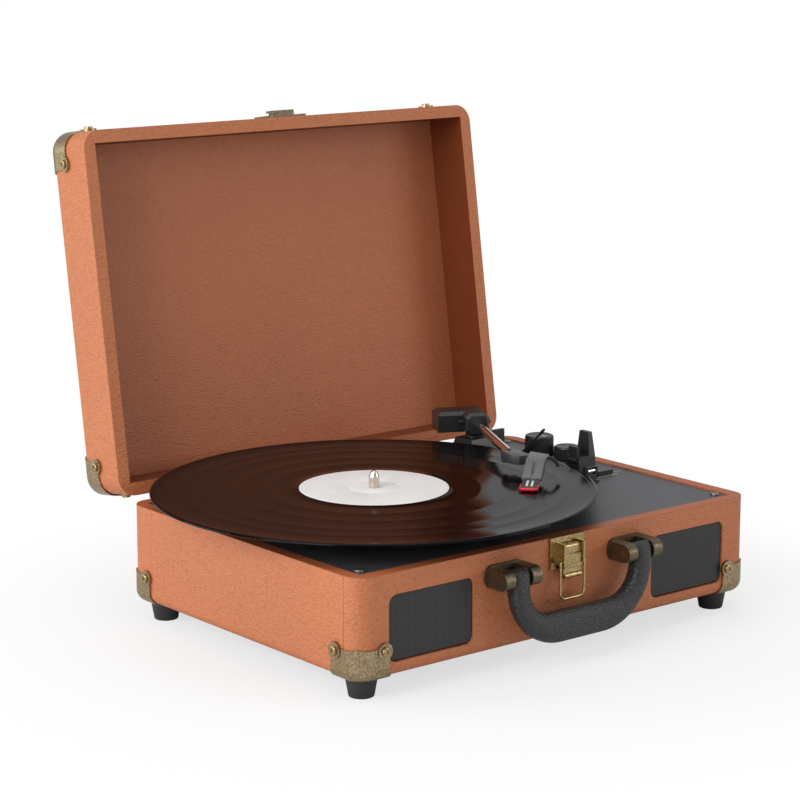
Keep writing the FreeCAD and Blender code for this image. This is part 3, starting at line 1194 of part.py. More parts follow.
guard_profile = [(1.5, 5.2 - ARM_RISE), (7, 4.9 - ARM_RISE), (19.5, 2.1 - ARM_RISE), (19.5, 0.9 - ARM_RISE),
                 (8, 0.9 - ARM_RISE), (1.5, 3.9 - ARM_RISE)]
guard = head_solid(guard_profile, num("cartWidth") / 2 - 1.2)
needle_top = Vector(*head_point(18.4, 0), 1.0 - ARM_RISE)
needle = Part.makeCone(0.8, 0.15, 1.0 - num("stylusGap"), needle_top, Vector(0, 0, -1))
arm_node(shaped("stylus_solid", guard.fuse(needle)), "stylus")

# ----------------------------------------------------------------------------- controls
for name, title in (("A", "volume_knob"), ("B", "function_knob")):
    knob = turned(title + "_body", [
        ("0", "0"),
        ("knobShaftRadius", "0"),
        ("knobShaftRadius", "deckThickness + 9"),
        (f"knobRadius{name}", "deckThickness + 9"),
        (f"knobRadius{name} * 0.97", f"deckThickness + 8 + knobHeight{name}"),
        (f"knobRadius{name} * 0.97 - 1.2", f"deckThickness + 9 + knobHeight{name}"),
        ("0", f"deckThickness + 9 + knobHeight{name}"),
    ])
    knob.Label = title
    bind_base(knob, f"shiftX + knob{name}X", f"shiftY + knob{name}Y", "deckUnder - 8")
    NODES.append(knob)


def cue_shape():
    """The cue lever about its pivot: a flat tapered arm that points up and forward, and a toe below."""
    profile = [(-1.9, -1.0), (1.9, -1.6), (-26.6, 26.4), (-28.6, 26.6), (-28.9, 24.8)]
    wire = Part.makePolygon([Vector(-1.2, y, z) for y, z in profile + profile[:1]])
    arm = Part.Face(wire).extrude(Vector(2.4, 0, 0))
    hub = Part.makeCylinder(2.4, 2.4, Vector(-1.2, 0, 0), Vector(1, 0, 0))
    bore = Part.makeCylinder(1 + num("runFit"), 5, Vector(-2.5, 0, 0), Vector(1, 0, 0))
    return arm.fuse(hub).cut(bore).removeSplitter()


cue = shaped("cue_solid", cue_shape())
cue.Label = "cue_lever"
bind_base(cue, "shiftX + cueX", "shiftY + cueY", "deckZ + 1.5")
NODES.append(cue)

cue_cheeks = [box("cue_cheek", "1.6", "9", "4.5", f"cueX + {sx} * 2.4", "cueY", "deckZ") for sx in (-1, 1)]
cue_pin = rod("cue_pin", "1", "6.4", "cueX - 3.2", "cueY", "deckZ + 1.5", "X")
node(fuse("cue_bracket_solid", cue_cheeks + [cue_pin]), "cue_bracket")

selector_cap = box("selector_cap", "14", "7", "3", "selectorX", "selectorY", "deckZ + slackFit")
selector_stem = box("selector_stem", "5", "2.6", "deckThickness + 3", "selectorX", "selectorY",
                    "deckUnder - 2.5")
node(fuse("selector_solid", [selector_cap, selector_stem]), "speed_selector")
switch_body = box("switch_body", "26", "9", "6", "selectorX", "selectorY", "deckUnder - 6")
switch_slot = box("switch_slot", "5 + 2 * selectorTravel + 1", "3.2", "4", "selectorX", "selectorY",
                  "deckUnder - 3")
node(cut("switch_cut", switch_body, [switch_slot]), "speed_switch")


def clip_shape():
    """The arm clip about its pivot: a thin hook that stands up and closes the rest's open side."""
    height = num("clipHeight")
    blade = Part.makeBox(2.2, 8.6, height, Vector(-1.1, -4.3, 0))
    hub = Part.makeCylinder(1.9, 8.6, Vector(0, -4.3, 0), Vector(0, 1, 0))
    bore = Part.makeCylinder(1 + num("runFit"), 12, Vector(0, -6, 0), Vector(0, 1, 0))
    return blade.fuse(hub).cut(bore).removeSplitter()


clip = shaped("clip_solid", clip_shape())
clip.Label = "arm_clip"
bind_base(clip, "shiftX + restX - 6", "shiftY + restY", "deckZ + restSeat - 3.2")
NODES.append(clip)
node(group("clip_pin_holder", [rod("clip_pin", "1", "12", "restX - 6", "restY - 6.6",
                                   "deckZ + restSeat - 3.2", "Y")]), "arm_clip_pin")

# ----------------------------------------------------------------------------- checks and export
doc.recompute()
for obj in doc.Objects:
    if "Invalid" in obj.State or "Error" in obj.State:
        raise RuntimeError(f"{obj.Name} ({obj.Label}) did not build: {obj.State}")
for obj in NODES:
    if obj.Shape.isNull() or not obj.Shape.isValid() or not obj.Shape.Solids:
        raise RuntimeError(obj.Label + " has no valid shape")
if len({obj.Label for obj in NODES}) != len(NODES):
    raise RuntimeError("two pieces share a name")

os.makedirs("parts", exist_ok=True)
for obj in NODES:
    obj.Shape.exportStep(f"parts/{obj.Label}.step")
print(len(NODES), "pieces written")
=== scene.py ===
"""Looks for the suitcase record player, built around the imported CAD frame."""

import bmesh
import bpy
import json
import math
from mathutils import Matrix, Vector


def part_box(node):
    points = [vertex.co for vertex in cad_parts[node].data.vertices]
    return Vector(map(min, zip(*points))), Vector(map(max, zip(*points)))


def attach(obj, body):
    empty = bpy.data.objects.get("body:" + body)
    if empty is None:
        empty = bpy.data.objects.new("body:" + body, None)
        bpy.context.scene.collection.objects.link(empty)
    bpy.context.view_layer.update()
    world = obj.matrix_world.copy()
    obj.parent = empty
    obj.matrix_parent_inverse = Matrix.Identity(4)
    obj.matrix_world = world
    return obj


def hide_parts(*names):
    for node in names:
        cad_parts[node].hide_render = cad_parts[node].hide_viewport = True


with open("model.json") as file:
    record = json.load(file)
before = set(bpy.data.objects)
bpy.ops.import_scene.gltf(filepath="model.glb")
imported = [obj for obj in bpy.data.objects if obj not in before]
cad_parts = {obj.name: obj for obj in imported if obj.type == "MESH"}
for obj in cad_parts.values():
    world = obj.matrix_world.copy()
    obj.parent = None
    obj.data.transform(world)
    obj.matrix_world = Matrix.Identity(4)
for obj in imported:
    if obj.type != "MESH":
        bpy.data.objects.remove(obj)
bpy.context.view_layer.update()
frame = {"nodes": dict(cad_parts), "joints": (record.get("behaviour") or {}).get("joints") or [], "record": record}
NODES = frame["nodes"]
MM = 0.001


# ------------------------------------------------------------------ places read from the frame
def corners(node):
    """The lowest and the highest corner of a CAD node's box."""
    lo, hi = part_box(node)
    return Vector(lo), Vector(hi)


BASE_LO, BASE_HI = corners("base_shell")
CASE = Vector(((BASE_LO.x + BASE_HI.x) / 2, (BASE_LO.y + BASE_HI.y) / 2, BASE_LO.z))
REC_LO, REC_HI = corners("record")
SPINDLE = Vector(((REC_LO.x + REC_HI.x) / 2, (REC_LO.y + REC_HI.y) / 2, REC_HI.z))
DECK_HI = corners("deck_plate")[1]
JOINTS = {j["name"]: j for j in frame["joints"]}
UP = Vector((0, 0, 1))
SIDEWAYS = (Vector((0, 1, 0)), UP, Vector((1, 0, 0)))  # lathe directions of a piece that lies along x
SOFT_ANGLE = math.radians(28)  # edges flatter than this are shaded smooth on CAD parts and not bevelled
WEAVE = 2 * math.pi / (1.9 * MM)  # the grille's weave repeats every 1.9 mm


def joint_place(name):
    return Vector(JOINTS[name]["pos_m"])


HINGE = joint_place("lid_hinge")
ARM = joint_place("arm_tilt")
ARM_SIDE = -Vector(JOINTS["arm_tilt"]["axis"]).normalized()
ARM_ALONG = Vector((ARM_SIDE.y, -ARM_SIDE.x, 0))
HANDLE = joint_place("handle_swing")


# ------------------------------------------------------------------ material building
def srgb(r, g, b):
    """The linear colour of an sRGB colour in 0..255."""
    def lin(v):
        v = v / 255.0
        return v / 12.92 if v <= 0.04045 else ((v + 0.055) / 1.055) ** 2.4
    return (lin(r), lin(g), lin(b), 1.0)


def math_node(tree, operation, *values):
    """A math node whose inputs are sockets or numbers."""
    node = tree.nodes.new("ShaderNodeMath")
    node.operation = operation
    for socket, value in zip(node.inputs, values):
        if isinstance(value, (int, float)):
            socket.default_value = value
        else:
            tree.links.new(value, socket)
    return node.outputs[0]


class Mat:
    """A small builder for node materials."""

    def __init__(self, name, base, rough=0.5, metal=0.0, spec=0.5):
        self.material = bpy.data.materials.new(name)
        self.material.use_nodes = True
        self.tree = self.material.node_tree
        self.shader = self.tree.nodes["Principled BSDF"]
        self.shader.inputs["Base Color"].default_value = base
        self.shader.inputs["Roughness"].default_value = rough
        self.shader.inputs["Metallic"].default_value = metal
        self.shader.inputs["Specular IOR Level"].default_value = spec
        self.material.diffuse_color = base
        self.coord = self.tree.nodes.new("ShaderNodeTexCoord").outputs["Object"]

    def node(self, kind, **settings):
        n = self.tree.nodes.new(kind)
        for key, value in settings.items():
            setattr(n, key, value)
        return n

    def link(self, a, b):
        self.tree.links.new(a, b)

    def vector(self, operation, a, b):
        n = self.node("ShaderNodeVectorMath", operation=operation)
        self.link(a, n.inputs[0])
        n.inputs[1].default_value = b
        return n.outputs["Value"] if operation == "DOT_PRODUCT" else n.outputs[0]

    def length(self, vector):
        n = self.node("ShaderNodeVectorMath", operation="LENGTH")
        self.link(vector, n.inputs[0])
        return n.outputs["Value"]

    def xyz(self):
        n = self.node("ShaderNodeSeparateXYZ")
        self.link(self.coord, n.inputs[0])
        return n.outputs

    def noise(self, scale, detail=3.0, rough=0.55, source=None, distort=0.0):
        n = self.node("ShaderNodeTexNoise")
        n.inputs["Scale"].default_value = scale
        n.inputs["Detail"].default_value = detail
        n.inputs["Roughness"].default_value = rough
        n.inputs["Distortion"].default_value = distort
        self.link(source or self.coord, n.inputs["Vector"])
        return n.outputs["Fac"]

    def cells(self, scale, source):
        n = self.node("ShaderNodeTexVoronoi", feature="SMOOTH_F1")
        n.inputs["Scale"].default_value = scale
        n.inputs["Smoothness"].default_value = 0.7
        self.link(source, n.inputs["Vector"])
        return n.outputs["Distance"]

    def math(self, operation, *values):
        return math_node(self.tree, operation, *values)

    def ramp(self, fac, stops):
        n = self.node("ShaderNodeValToRGB")
        while len(n.color_ramp.elements) < len(stops):
            n.color_ramp.elements.new(0.5)
        for e, (at, colour) in zip(n.color_ramp.elements, stops):
            e.position = at
            e.color = colour
        self.link(fac, n.inputs["Fac"])
        return n.outputs["Color"]

    def mix(self, fac, a, b, blend="MIX"):
        n = self.node("ShaderNodeMix", data_type="RGBA", blend_type=blend)
        for socket, value in ((n.inputs[0], fac), (n.inputs[6], a), (n.inputs[7], b)):
            if isinstance(value, (tuple, float, int)):
                socket.default_value = value
            else:
                self.link(value, socket)
        return n.outputs[2]

    def spread(self, fac, low, high):
        """Map a 0..1 value onto low..high."""
        n = self.node("ShaderNodeMapRange")
        n.inputs["To Min"].default_value = low
        n.inputs["To Max"].default_value = high
        self.link(fac, n.inputs["Value"])
        return n.outputs["Result"]

    def colour(self, socket):
        self.link(socket, self.shader.inputs["Base Color"])

    def roughness(self, socket):
        self.link(socket, self.shader.inputs["Roughness"])

    def bump(self, height, distance):
        n = self.node("ShaderNodeBump")
        n.inputs["Distance"].default_value = distance
        self.link(height, n.inputs["Height"])
        self.link(n.outputs["Normal"], self.shader.inputs["Normal"])


WHITE = (1, 1, 1, 1)
BLACK = (0, 0, 0, 1)


def shade(colour, factor):
    """A darker or lighter copy of a colour."""
    return tuple(min(1.0, c * factor) for c in colour[:3]) + (1.0,)


def leatherette(name, base, pebble, depth, rough=0.5, blotch=0.08, valley=0.82, inside=None, smooth=None):
    """Embossed leather cloth: soft rounded pebbles with painted shade in their valleys, and a slow change of tone.

    inside(material) gives a 0..1 mask of the smooth paper-lined faces, which take the colour smooth.
    """
    mat = Mat(name, base, rough=rough, spec=0.45)
    big = mat.noise(9.0, 3.0)
    drawn = mat.vector("MULTIPLY", mat.coord, (0.62, 0.62, 1.25))
    grain = mat.cells(1.0 / pebble, source=drawn)
    fine = mat.noise(1.7 / pebble, 3.0, 0.6, source=drawn, distort=0.6)
    height = mat.math("ADD", mat.math("MULTIPLY", grain, 0.75), mat.math("MULTIPLY", fine, 0.6))
    patches = mat.ramp(big, [(0.3, BLACK), (0.7, WHITE)])
    tone = mat.mix(patches, shade(base, 1 - blotch), shade(base, 1 + blotch))
    # painted shade: the grain's valleys are darkened, as shade would fall in them
    painted_valley_shade = mat.ramp(height, [(0.55, WHITE), (0.9, (valley, valley * 0.98, valley * 0.96, 1))])
    cloth = mat.mix(1.0, tone, painted_valley_shade, "MULTIPLY")
    relief = mat.math("SUBTRACT", 1.0, height)
    if inside:
        mask = inside(mat)
        paper = mat.mix(mat.noise(60.0, 4.0), shade(smooth, 0.92), shade(smooth, 1.08))
        cloth = mat.mix(mask, cloth, paper)
        relief = mat.math("MULTIPLY", relief, mat.math("SUBTRACT", 1.0, mat.math("MULTIPLY", mask, 0.9)))
    mat.colour(cloth)
    mat.roughness(mat.spread(fine, rough - 0.08, rough + 0.1))
    mat.bump(relief, depth)
    return mat


def plain_plastic(name, base, rough):
    """A plain surface with a fine grain, used for plastic, rubber, paper, felt and board."""
    mat = Mat(name, base, rough=rough)
    fine = mat.noise(1.0 / 0.0007, 3.0)
    mat.colour(mat.mix(mat.noise(30.0, 3.0), shade(base, 0.88), shade(base, 1.14)))
    mat.roughness(mat.spread(fine, rough - 0.06, rough + 0.1))
    mat.bump(fine, 0.00003)
    return mat


def antique(name, base, dark, light, rough, scale):
    """Aged plated metal: fine mottling with darker stains and worn bright spots."""
    mat = Mat(name, base, rough=rough, metal=1.0)
    stain = mat.noise(scale, 5.0, 0.62, distort=0.4)
    spots = mat.noise(scale * 3.3, 3.0, 0.6)
    blend = mat.math("ADD", mat.math("MULTIPLY", stain, 0.65), mat.math("MULTIPLY", spots, 0.35))
    mat.colour(mat.ramp(blend, [(0.34, dark), (0.5, base), (0.64, light)]))
    mat.roughness(mat.spread(stain, rough + 0.18, rough - 0.08))
    mat.bump(spots, 0.00003)
    return mat


def metal(name, base, rough):
    """Clean metal with faint unevenness."""
    mat = Mat(name, base, rough=rough, metal=1.0)
    streak = mat.noise(900.0, 2.0)
    mat.roughness(mat.spread(streak, rough * 0.8, rough * 1.25))
    mat.bump(streak, 0.000004)
    return mat


def record_vinyl(name, base):
    """Glossy vinyl: fine rings round the spindle, with plain bands between the tracks, and a painted sheen on the
    tracks.
    """
    mat = Mat(name, base, rough=0.07, spec=0.07)
    flat = mat.vector("MULTIPLY", mat.vector("SUBTRACT", mat.coord, SPINDLE), (1, 1, 0))
    radius = mat.length(flat)
    rings = mat.math("SINE", mat.math("MULTIPLY", radius, 2 * math.pi / (0.55 * MM)))
    bands = mat.ramp(mat.math("DIVIDE", radius, 0.151), [
        (0.0, (0.1, 0.1, 0.1, 1)), (0.405, (0.1, 0.1, 0.1, 1)), (0.41, (0.75, 0.75, 0.75, 1)),
        (0.59, (0.55, 0.55, 0.55, 1)), (0.6, (0.8, 0.8, 0.8, 1)), (0.75, (0.6, 0.6, 0.6, 1)),
        (0.76, (0.9, 0.9, 0.9, 1)), (0.965, (0.8, 0.8, 0.8, 1)), (0.972, (0.05, 0.05, 0.05, 1))])
    # painted sheen: the grooved tracks are coloured lighter, in uneven steps, than the plain bands, the run-out
    # and the rim
    tone = mat.mix(bands, shade(base, 0.7), shade(base, 1.5))
    mat.colour(tone)
    uneven = mat.noise(24.0, 3.0)
    mat.roughness(mat.math("ADD", mat.spread(uneven, 0.045, 0.075), mat.math("MULTIPLY", bands, 0.035)))
    mat.bump(mat.math("MULTIPLY", rings, bands), 0.0000025)
    return mat


def grille_weave(name, base):
    """A fine diagonal weave: painted shade in the holes and a painted highlight on the raised dots between them.
    """
    mat = Mat(name, base, rough=0.42, spec=0.4)
    place = mat.xyz()
    one = mat.math("SINE", mat.math("MULTIPLY", mat.math("ADD", place[0], place[2]), WEAVE))
    two = mat.math("SINE", mat.math("MULTIPLY", mat.math("SUBTRACT", place[0], place[2]), WEAVE))
    dots = mat.spread(mat.math("MULTIPLY", one, two), 0.5, 1.0)
    # painted shade darkens the holes and painted highlight lightens the raised dots
    mat.colour(mat.ramp(dots, [(0.5, shade(base, 0.12)), (0.72, base), (1.0, shade(base, 1.25))]))
    mat.roughness(mat.spread(mat.noise(1500.0, 2.0), 0.35, 0.55))
    return mat


# The lid stands open at rest. These are its own y and z directions there, and its hollow's extent.
LID_LEAN = math.radians(98.5)
LID_Y = Vector((0, math.cos(LID_LEAN), -math.sin(LID_LEAN)))
LID_Z = Vector((0, math.sin(LID_LEAN), math.cos(LID_LEAN)))
WALL = 9 * MM
HALF_IN_X = (BASE_HI.x - BASE_LO.x) / 2 - WALL
HALF_IN_Y = (BASE_HI.y - BASE_LO.y) / 2 - WALL
HINGE_BEHIND = 5.8 * MM  # from the case's back to the hinge line
HOLLOW_FROM, HOLLOW_TO = 4.6 * MM, 46 * MM  # along LID_Z from the hinge line
MASK_MARGIN = 0.3 * MM


def lid_inside(mat):
    """1 on the walls inside the lid's hollow, measured in the lid's own directions."""
    from_hinge = mat.vector("SUBTRACT", mat.coord, HINGE)
    across = mat.math("ABSOLUTE", mat.math("SUBTRACT", mat.xyz()[0], CASE.x))
    middle = HINGE_BEHIND + (BASE_HI.y - BASE_LO.y) / 2
    along = mat.math("ABSOLUTE", mat.math("ADD", mat.vector("DOT_PRODUCT", from_hinge, LID_Y), middle))
    deep = mat.vector("DOT_PRODUCT", from_hinge, LID_Z)
    past_x = mat.math("SUBTRACT", across, HALF_IN_X)
    past_y = mat.math("SUBTRACT", along, HALF_IN_Y)
    outside = mat.math("MAXIMUM", past_x, past_y)
    above = mat.math("GREATER_THAN", deep, HOLLOW_FROM)
    below = mat.math("LESS_THAN", deep, HOLLOW_TO)
    hollow = mat.math("MULTIPLY", above, below)
    return mat.math("MULTIPLY", mat.math("LESS_THAN", outside, MASK_MARGIN), hollow)


def base_rim(mat):
    """1 on the base's flat rim."""
    return mat.math("GREATER_THAN", mat.xyz()[2], BASE_HI.z - MASK_MARGIN)


TAN = srgb(188, 112, 70)
MATERIALS = {
    "leather": leatherette("tan_leatherette", TAN, 0.0015, 0.0005, blotch=0.03),
    # The lid's inner walls are smooth paper; their dark colour also paints the shade that falls inside the lid.
    "leather_lid": leatherette("tan_leatherette_lid", TAN, 0.0015, 0.0005, blotch=0.03,
                               inside=lid_inside, smooth=srgb(112, 50, 18)),
    "leather_base": leatherette("tan_leatherette_base", TAN, 0.0015, 0.0005, blotch=0.03,
                                inside=base_rim, smooth=srgb(168, 92, 54)),
    "lining": leatherette("tan_lining", srgb(180, 104, 66), 0.0013, 0.0004,
                          rough=0.48, blotch=0.04, valley=0.86),
    "deck": leatherette("deck_vinyl", srgb(70, 70, 75), 0.0009, 0.00009, rough=0.42, blotch=0.06, valley=0.8),
    "rubber": plain_plastic("black_rubber", srgb(34, 33, 33), 0.5),
    "black": plain_plastic("black_plastic", srgb(32, 32, 33), 0.32),
    "grey": plain_plastic("grey_plastic", srgb(86, 86, 88), 0.3),
    "dark_grey": plain_plastic("dark_grey_plastic", srgb(58, 58, 60), 0.3),
    "brass": antique("antique_brass", srgb(152, 134, 104), srgb(112, 96, 68), srgb(186, 170, 138),
                     0.26, 620.0),
    "bright_brass": antique("bright_brass", srgb(166, 144, 100), srgb(132, 112, 74), srgb(206, 186, 142),
                            0.22, 800.0),
    "bronze": antique("dark_bronze", srgb(104, 94, 76), srgb(84, 74, 58), srgb(128, 116, 94), 0.4, 600.0),
    "steel": metal("dull_steel", srgb(140, 136, 130), 0.35),
    "chrome": metal("chrome", srgb(228, 228, 230), 0.07),
    "gold": metal("spindle_gold", srgb(206, 194, 180), 0.12),
    "paper": plain_plastic("label_paper", srgb(232, 231, 230), 0.55),
    "felt": plain_plastic("black_felt", srgb(22, 22, 22), 0.9),
    "circuit": plain_plastic("circuit_board", srgb(30, 76, 42), 0.5),
    "board": plain_plastic("black_board", srgb(38, 36, 35), 0.75),
    "grille": grille_weave("grille_weave", srgb(66, 64, 64)),
    "seam": plain_plastic("seam_shadow", srgb(120, 64, 36), 0.6),
    "red": plain_plastic("red_plastic", srgb(214, 20, 26), 0.25),
    "white": plain_plastic("white_plastic", srgb(206, 206, 204), 0.3),
    "print": plain_plastic("white_print", srgb(206, 206, 208), 0.5),
    "vinyl": record_vinyl("record_vinyl", srgb(10, 8, 8)),
    "padding": leatherette("black_leatherette", srgb(42, 42, 44), 0.0015, 0.0008,
                           rough=0.27, blotch=0.08, valley=0.7),
}

# The look of each material slot in the record, and of the nodes that look different from their slot.
SLOTS = {
    "leatherette": "leather", "lining": "lining", "board": "board", "deck_vinyl": "deck",
    "rubber_black": "rubber", "screw_steel": "steel", "antique_brass": "brass", "dark_bronze": "bronze",
    "grille_grey": "grille", "speaker_paper": "felt", "magnet": "steel", "black_plastic": "black",
    "grey_plastic": "grey", "red_plastic": "red", "circuit": "circuit", "chrome": "chrome",
    "vinyl": "vinyl", "label_paper": "paper", "felt": "felt", "handle_leather": "padding",
}
SPECIAL = {
    "base_shell": "leather_base", "lid_shell": "leather_lid", "latch_plate": "bright_brass",
    "latch_lever": "bright_brass", "latch_bail": "bright_brass", "base_bracket_screws": "bright_brass",
    "lid_bracket_screws": "bright_brass", "spindle": "gold",
}
for part in frame["record"]["subparts"]:
    cad = NODES[part["node"]]
    cad.data.materials.clear()
    cad.data.materials.append(MATERIALS[SPECIAL.get(part["node"], SLOTS[part["material_slot"]])].material)
    cad.data.shade_smooth()
    cad.data.set_sharp_from_angle(angle=SOFT_ANGLE)


# ------------------------------------------------------------------ mesh building
class Shape:
    """Collects vertices and faces, in metres, for one piece."""

    def __init__(self):
        self.verts = []
        self.faces = []

    def add(self, verts, faces):
        first = len(self.verts)
        self.verts += [tuple(v) for v in verts]
        self.faces += [[first + i for i in face] for face in faces]

    def lathe(self, place, profile, segments=96, radius=None, axes=None):
        """Turn (radius, height) pairs, in mm, about a line through place.

        radius(angle, r, z) may vary the radius round the turn.
        """
        ax, ay, az = axes or (Vector((1, 0, 0)), Vector((0, 1, 0)), UP)
        verts, faces, rings = [], [], []
        for r, z in profile:
            if r < 1e-6:
                rings.append([len(verts)])
                verts.append(place + az * (z * MM))
                continue
            ring = []
            for i in range(segments):
                angle = 2 * math.pi * i / segments
                size = (radius(angle, r, z) if radius else r) * MM
                ring.append(len(verts))
                verts.append(place + ax * (size * math.cos(angle)) + ay * (size * math.sin(angle))
                             + az * (z * MM))
            rings.append(ring)
        for low, high in zip(rings, rings[1:]):
            for i in range(segments):
                j = (i + 1) % segments
                face = [low[i % len(low)], low[j % len(low)], high[j % len(high)], high[i % len(high)]]
                face = list(dict.fromkeys(face))
                if len(face) > 2:
                    faces.append(face)
        self.add(verts, faces)

    def prism(self, outline, low, high):
        """A solid between the same outline seen through two functions of its (u, v) points."""
        count = len(outline)
        verts = [low(u, v) for u, v in outline] + [high(u, v) for u, v in outline]
        faces = [list(range(count)), list(range(2 * count - 1, count - 1, -1))]
        faces += [[i, (i + 1) % count, count + (i + 1) % count, count + i] for i in range(count)]
        self.add(verts, faces)

    def skin(self, rows, closed=False, caps=False):
        """Quads between rows of points; closed joins the ends of each row."""
        verts = [p for row in rows for p in row]
        width = len(rows[0])
        faces = []
        for r in range(len(rows) - 1):
            for i in range(width if closed else width - 1):
                j = (i + 1) % width
                faces.append([r * width + i, r * width + j, (r + 1) * width + j, (r + 1) * width + i])
        if caps:
            faces.append(list(range(width)))
            faces.append(list(range((len(rows) - 1) * width, len(rows) * width)))
        self.add(verts, faces)

    def mesh(self, name, bevel=0.0, sharp=35):
        """The shape as a mesh; bevel is in mm, and edges over sharp degrees stay hard."""
        data = bpy.data.meshes.new(name)
        data.from_pydata(self.verts, [], self.faces)
        work = bmesh.new()
        work.from_mesh(data)
        bmesh.ops.remove_doubles(work, verts=work.verts, dist=1e-7)
        bmesh.ops.recalc_face_normals(work, faces=work.faces)
        if bevel:
            edges = [e for e in work.edges if len(e.link_faces) == 2
                     and e.calc_face_angle(0) > SOFT_ANGLE]
            bmesh.ops.bevel(work, geom=edges, offset=bevel * MM, segments=2, profile=0.6, affect="EDGES",
                            clamp_overlap=True)
        work.to_mesh(data)
        work.free()
        data.shade_smooth()
        data.set_sharp_from_angle(angle=math.radians(sharp))
        return data


def piece(name, shape, material, body, replaced=(), bevel=0.0, sharp=35):
    """Make a shape into an object that rides on a body, in place of the replaced CAD nodes."""
    obj = bpy.data.objects.new(name, shape.mesh(name, bevel, sharp))
    bpy.context.scene.collection.objects.link(obj)
    obj.data.materials.append(MATERIALS[material].material)
    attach(obj, body)
    if replaced:
        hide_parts(*replaced)
    return obj


def eased(points, radius, steps=4, closed=False):
    """A polyline whose corners are rounded."""
    count = len(points)
    result = []
    for i, point in enumerate(points):
        here = Vector(point)
        if not closed and i in (0, count - 1):
            result.append(tuple(here))
            continue
        back = Vector(points[i - 1]) - here
        on = Vector(points[(i + 1) % count]) - here
        reach = min(radius, back.length * 0.48, on.length * 0.48)
        start = here + back.normalized() * reach
        end = here + on.normalized() * reach
        for k in range(steps + 1):
            t = k / steps
            result.append(tuple(start * (1 - t) ** 2 + here * (2 * t * (1 - t)) + end * t ** 2))
    return result


OFF_AXIS = Vector((0.31, 0.17, 0.93))  # a direction that no tube here runs along


def tube_rows(points, radius, segments=20):
    """Rings round a line of points, for a bent wire or rod."""
    rows = []
    for i, point in enumerate(points):
        ahead = (points[min(i + 1, len(points) - 1)] - points[max(i - 1, 0)]).normalized()
        side = ahead.cross(OFF_AXIS).normalized()
        over = ahead.cross(side)
        size = radius(i / (len(points) - 1)) if callable(radius) else radius
        rows.append([point + (side * math.cos(a) + over * math.sin(a)) * (size * MM)
                     for a in (2 * math.pi * k / segments for k in range(segments))])
    return rows


# ------------------------------------------------------------------ record and label
THICK = (REC_HI.z - REC_LO.z) / MM
HOLE = 3.62  # radius of the hole for the spindle
GROOVES = -0.28  # height of the grooved face, under the raised rim
disc_profile = [(HOLE, -THICK), (50, -THICK), (149.9, -THICK), (150.5, -THICK + 0.3), (150.75, -1.0),
                (150.5, -0.45), (150.0, -0.1), (149.2, 0.0), (147.6, -0.03), (146.7, -0.2), (146.2, GROOVES)]
for edge in (128.5, 113.0, 91.0, 72.0):
    disc_profile += [(edge + 0.9, GROOVES), (edge + 0.35, -0.24), (edge - 0.35, -0.24), (edge - 0.9, GROOVES)]
disc_profile += [(61.0, GROOVES), (60.3, -0.31), (52.8, -0.31), (52.2, -0.1), (51.6, -0.02), (50.85, -0.02),
                 (50.8, GROOVES), (HOLE, GROOVES), (HOLE, -THICK)]
disc = Shape()
disc.lathe(SPINDLE, disc_profile, 360)
piece("record_disc", disc, "vinyl", "turntable", ("record",), sharp=30)

label = Shape()
label.lathe(SPINDLE, [(HOLE, -0.27), (HOLE, -0.04), (4.0, 0.0), (17.0, 0.0), (17.2, -0.05), (17.8, -0.05),
                      (18.0, 0.0), (50.2, 0.0), (50.6, -0.06), (50.7, -0.27), (HOLE, -0.27)], 180)
piece("label_disc", label, "paper", "turntable", ("record_label",), sharp=60)

# ------------------------------------------------------------------ carrying handle
# Millimetres from the pivot line, on the outer and the inner outline of the grip.
END_OUT, END_IN = 60.6, 46.6
BEND_OUT, BEND_IN = 42.0, 20.0
BEND_STEPS = 24
DROP, FLOOR, TOP = 48.5, 27.5, 6.2
HALF_THICK = 6.5
AROUND = 56
STITCH_AT, STITCH_WIDTH, STITCH_DEPTH = 0.62, 0.055, 0.035


def handle_stations():
    """Pairs of outer and inner outline points and a thickness, from the right top end to the left."""
    half = []
    for z in (6.1, 5.7, 4.8, 3.4, 1.6):
        rounding = math.sqrt(max(0.02, 1 - (z / TOP) ** 2)) * 0.96
        half.append((Vector((END_OUT, z)), Vector((END_IN, z)), rounding))
    for z in (-1.0, -3.5, -6.4):
        half.append((Vector((END_OUT, z)), Vector((END_IN, z)), 1.0))
    out_mid = Vector((END_OUT - BEND_OUT, BEND_OUT - DROP))
    in_mid = Vector((END_IN - BEND_IN, BEND_IN - FLOOR))
    for k in range(1, BEND_STEPS + 1):
        a = -math.pi / 2 * k / BEND_STEPS
        spoke = Vector((math.cos(a), math.sin(a)))
        half.append((out_mid + spoke * BEND_OUT, in_mid + spoke * BEND_IN, 1.0))
    for k in (0.75, 0.5, 0.25, 0.0):
        half.append((Vector((out_mid.x * k, -DROP)), Vector((in_mid.x * k, -FLOOR)), 1.0))
    mirrored = [(Vector((-o.x, o.y)), Vector((-i.x, i.y)), t) for o, i, t in reversed(half[:-1])]
    return half + mirrored


grip = Shape()
rows = []
for outer, inner, fullness in handle_stations():
    middle = (outer + inner) / 2
    reach = (outer - inner) / 2
    row = []
    for k in range(AROUND):
        a = 2 * math.pi * k / AROUND
        c, s = math.cos(a), math.sin(a)
        across = math.copysign(abs(c) ** 0.72, c)
        depth = math.copysign(abs(s) ** 0.8, s)
        pinch = 1 - STITCH_DEPTH * math.exp(-((a - STITCH_AT) / STITCH_WIDTH) ** 2)
        spot = middle + reach * (across * pinch)
        row.append(HANDLE + Vector((spot.x, HALF_THICK * depth * fullness * pinch, spot.y)) * MM)
    rows.append(row)
grip.skin(rows, closed=True, caps=True)
grip_obj = piece("padded_grip", grip, "padding", "handle", ("handle_grip",), sharp=60)

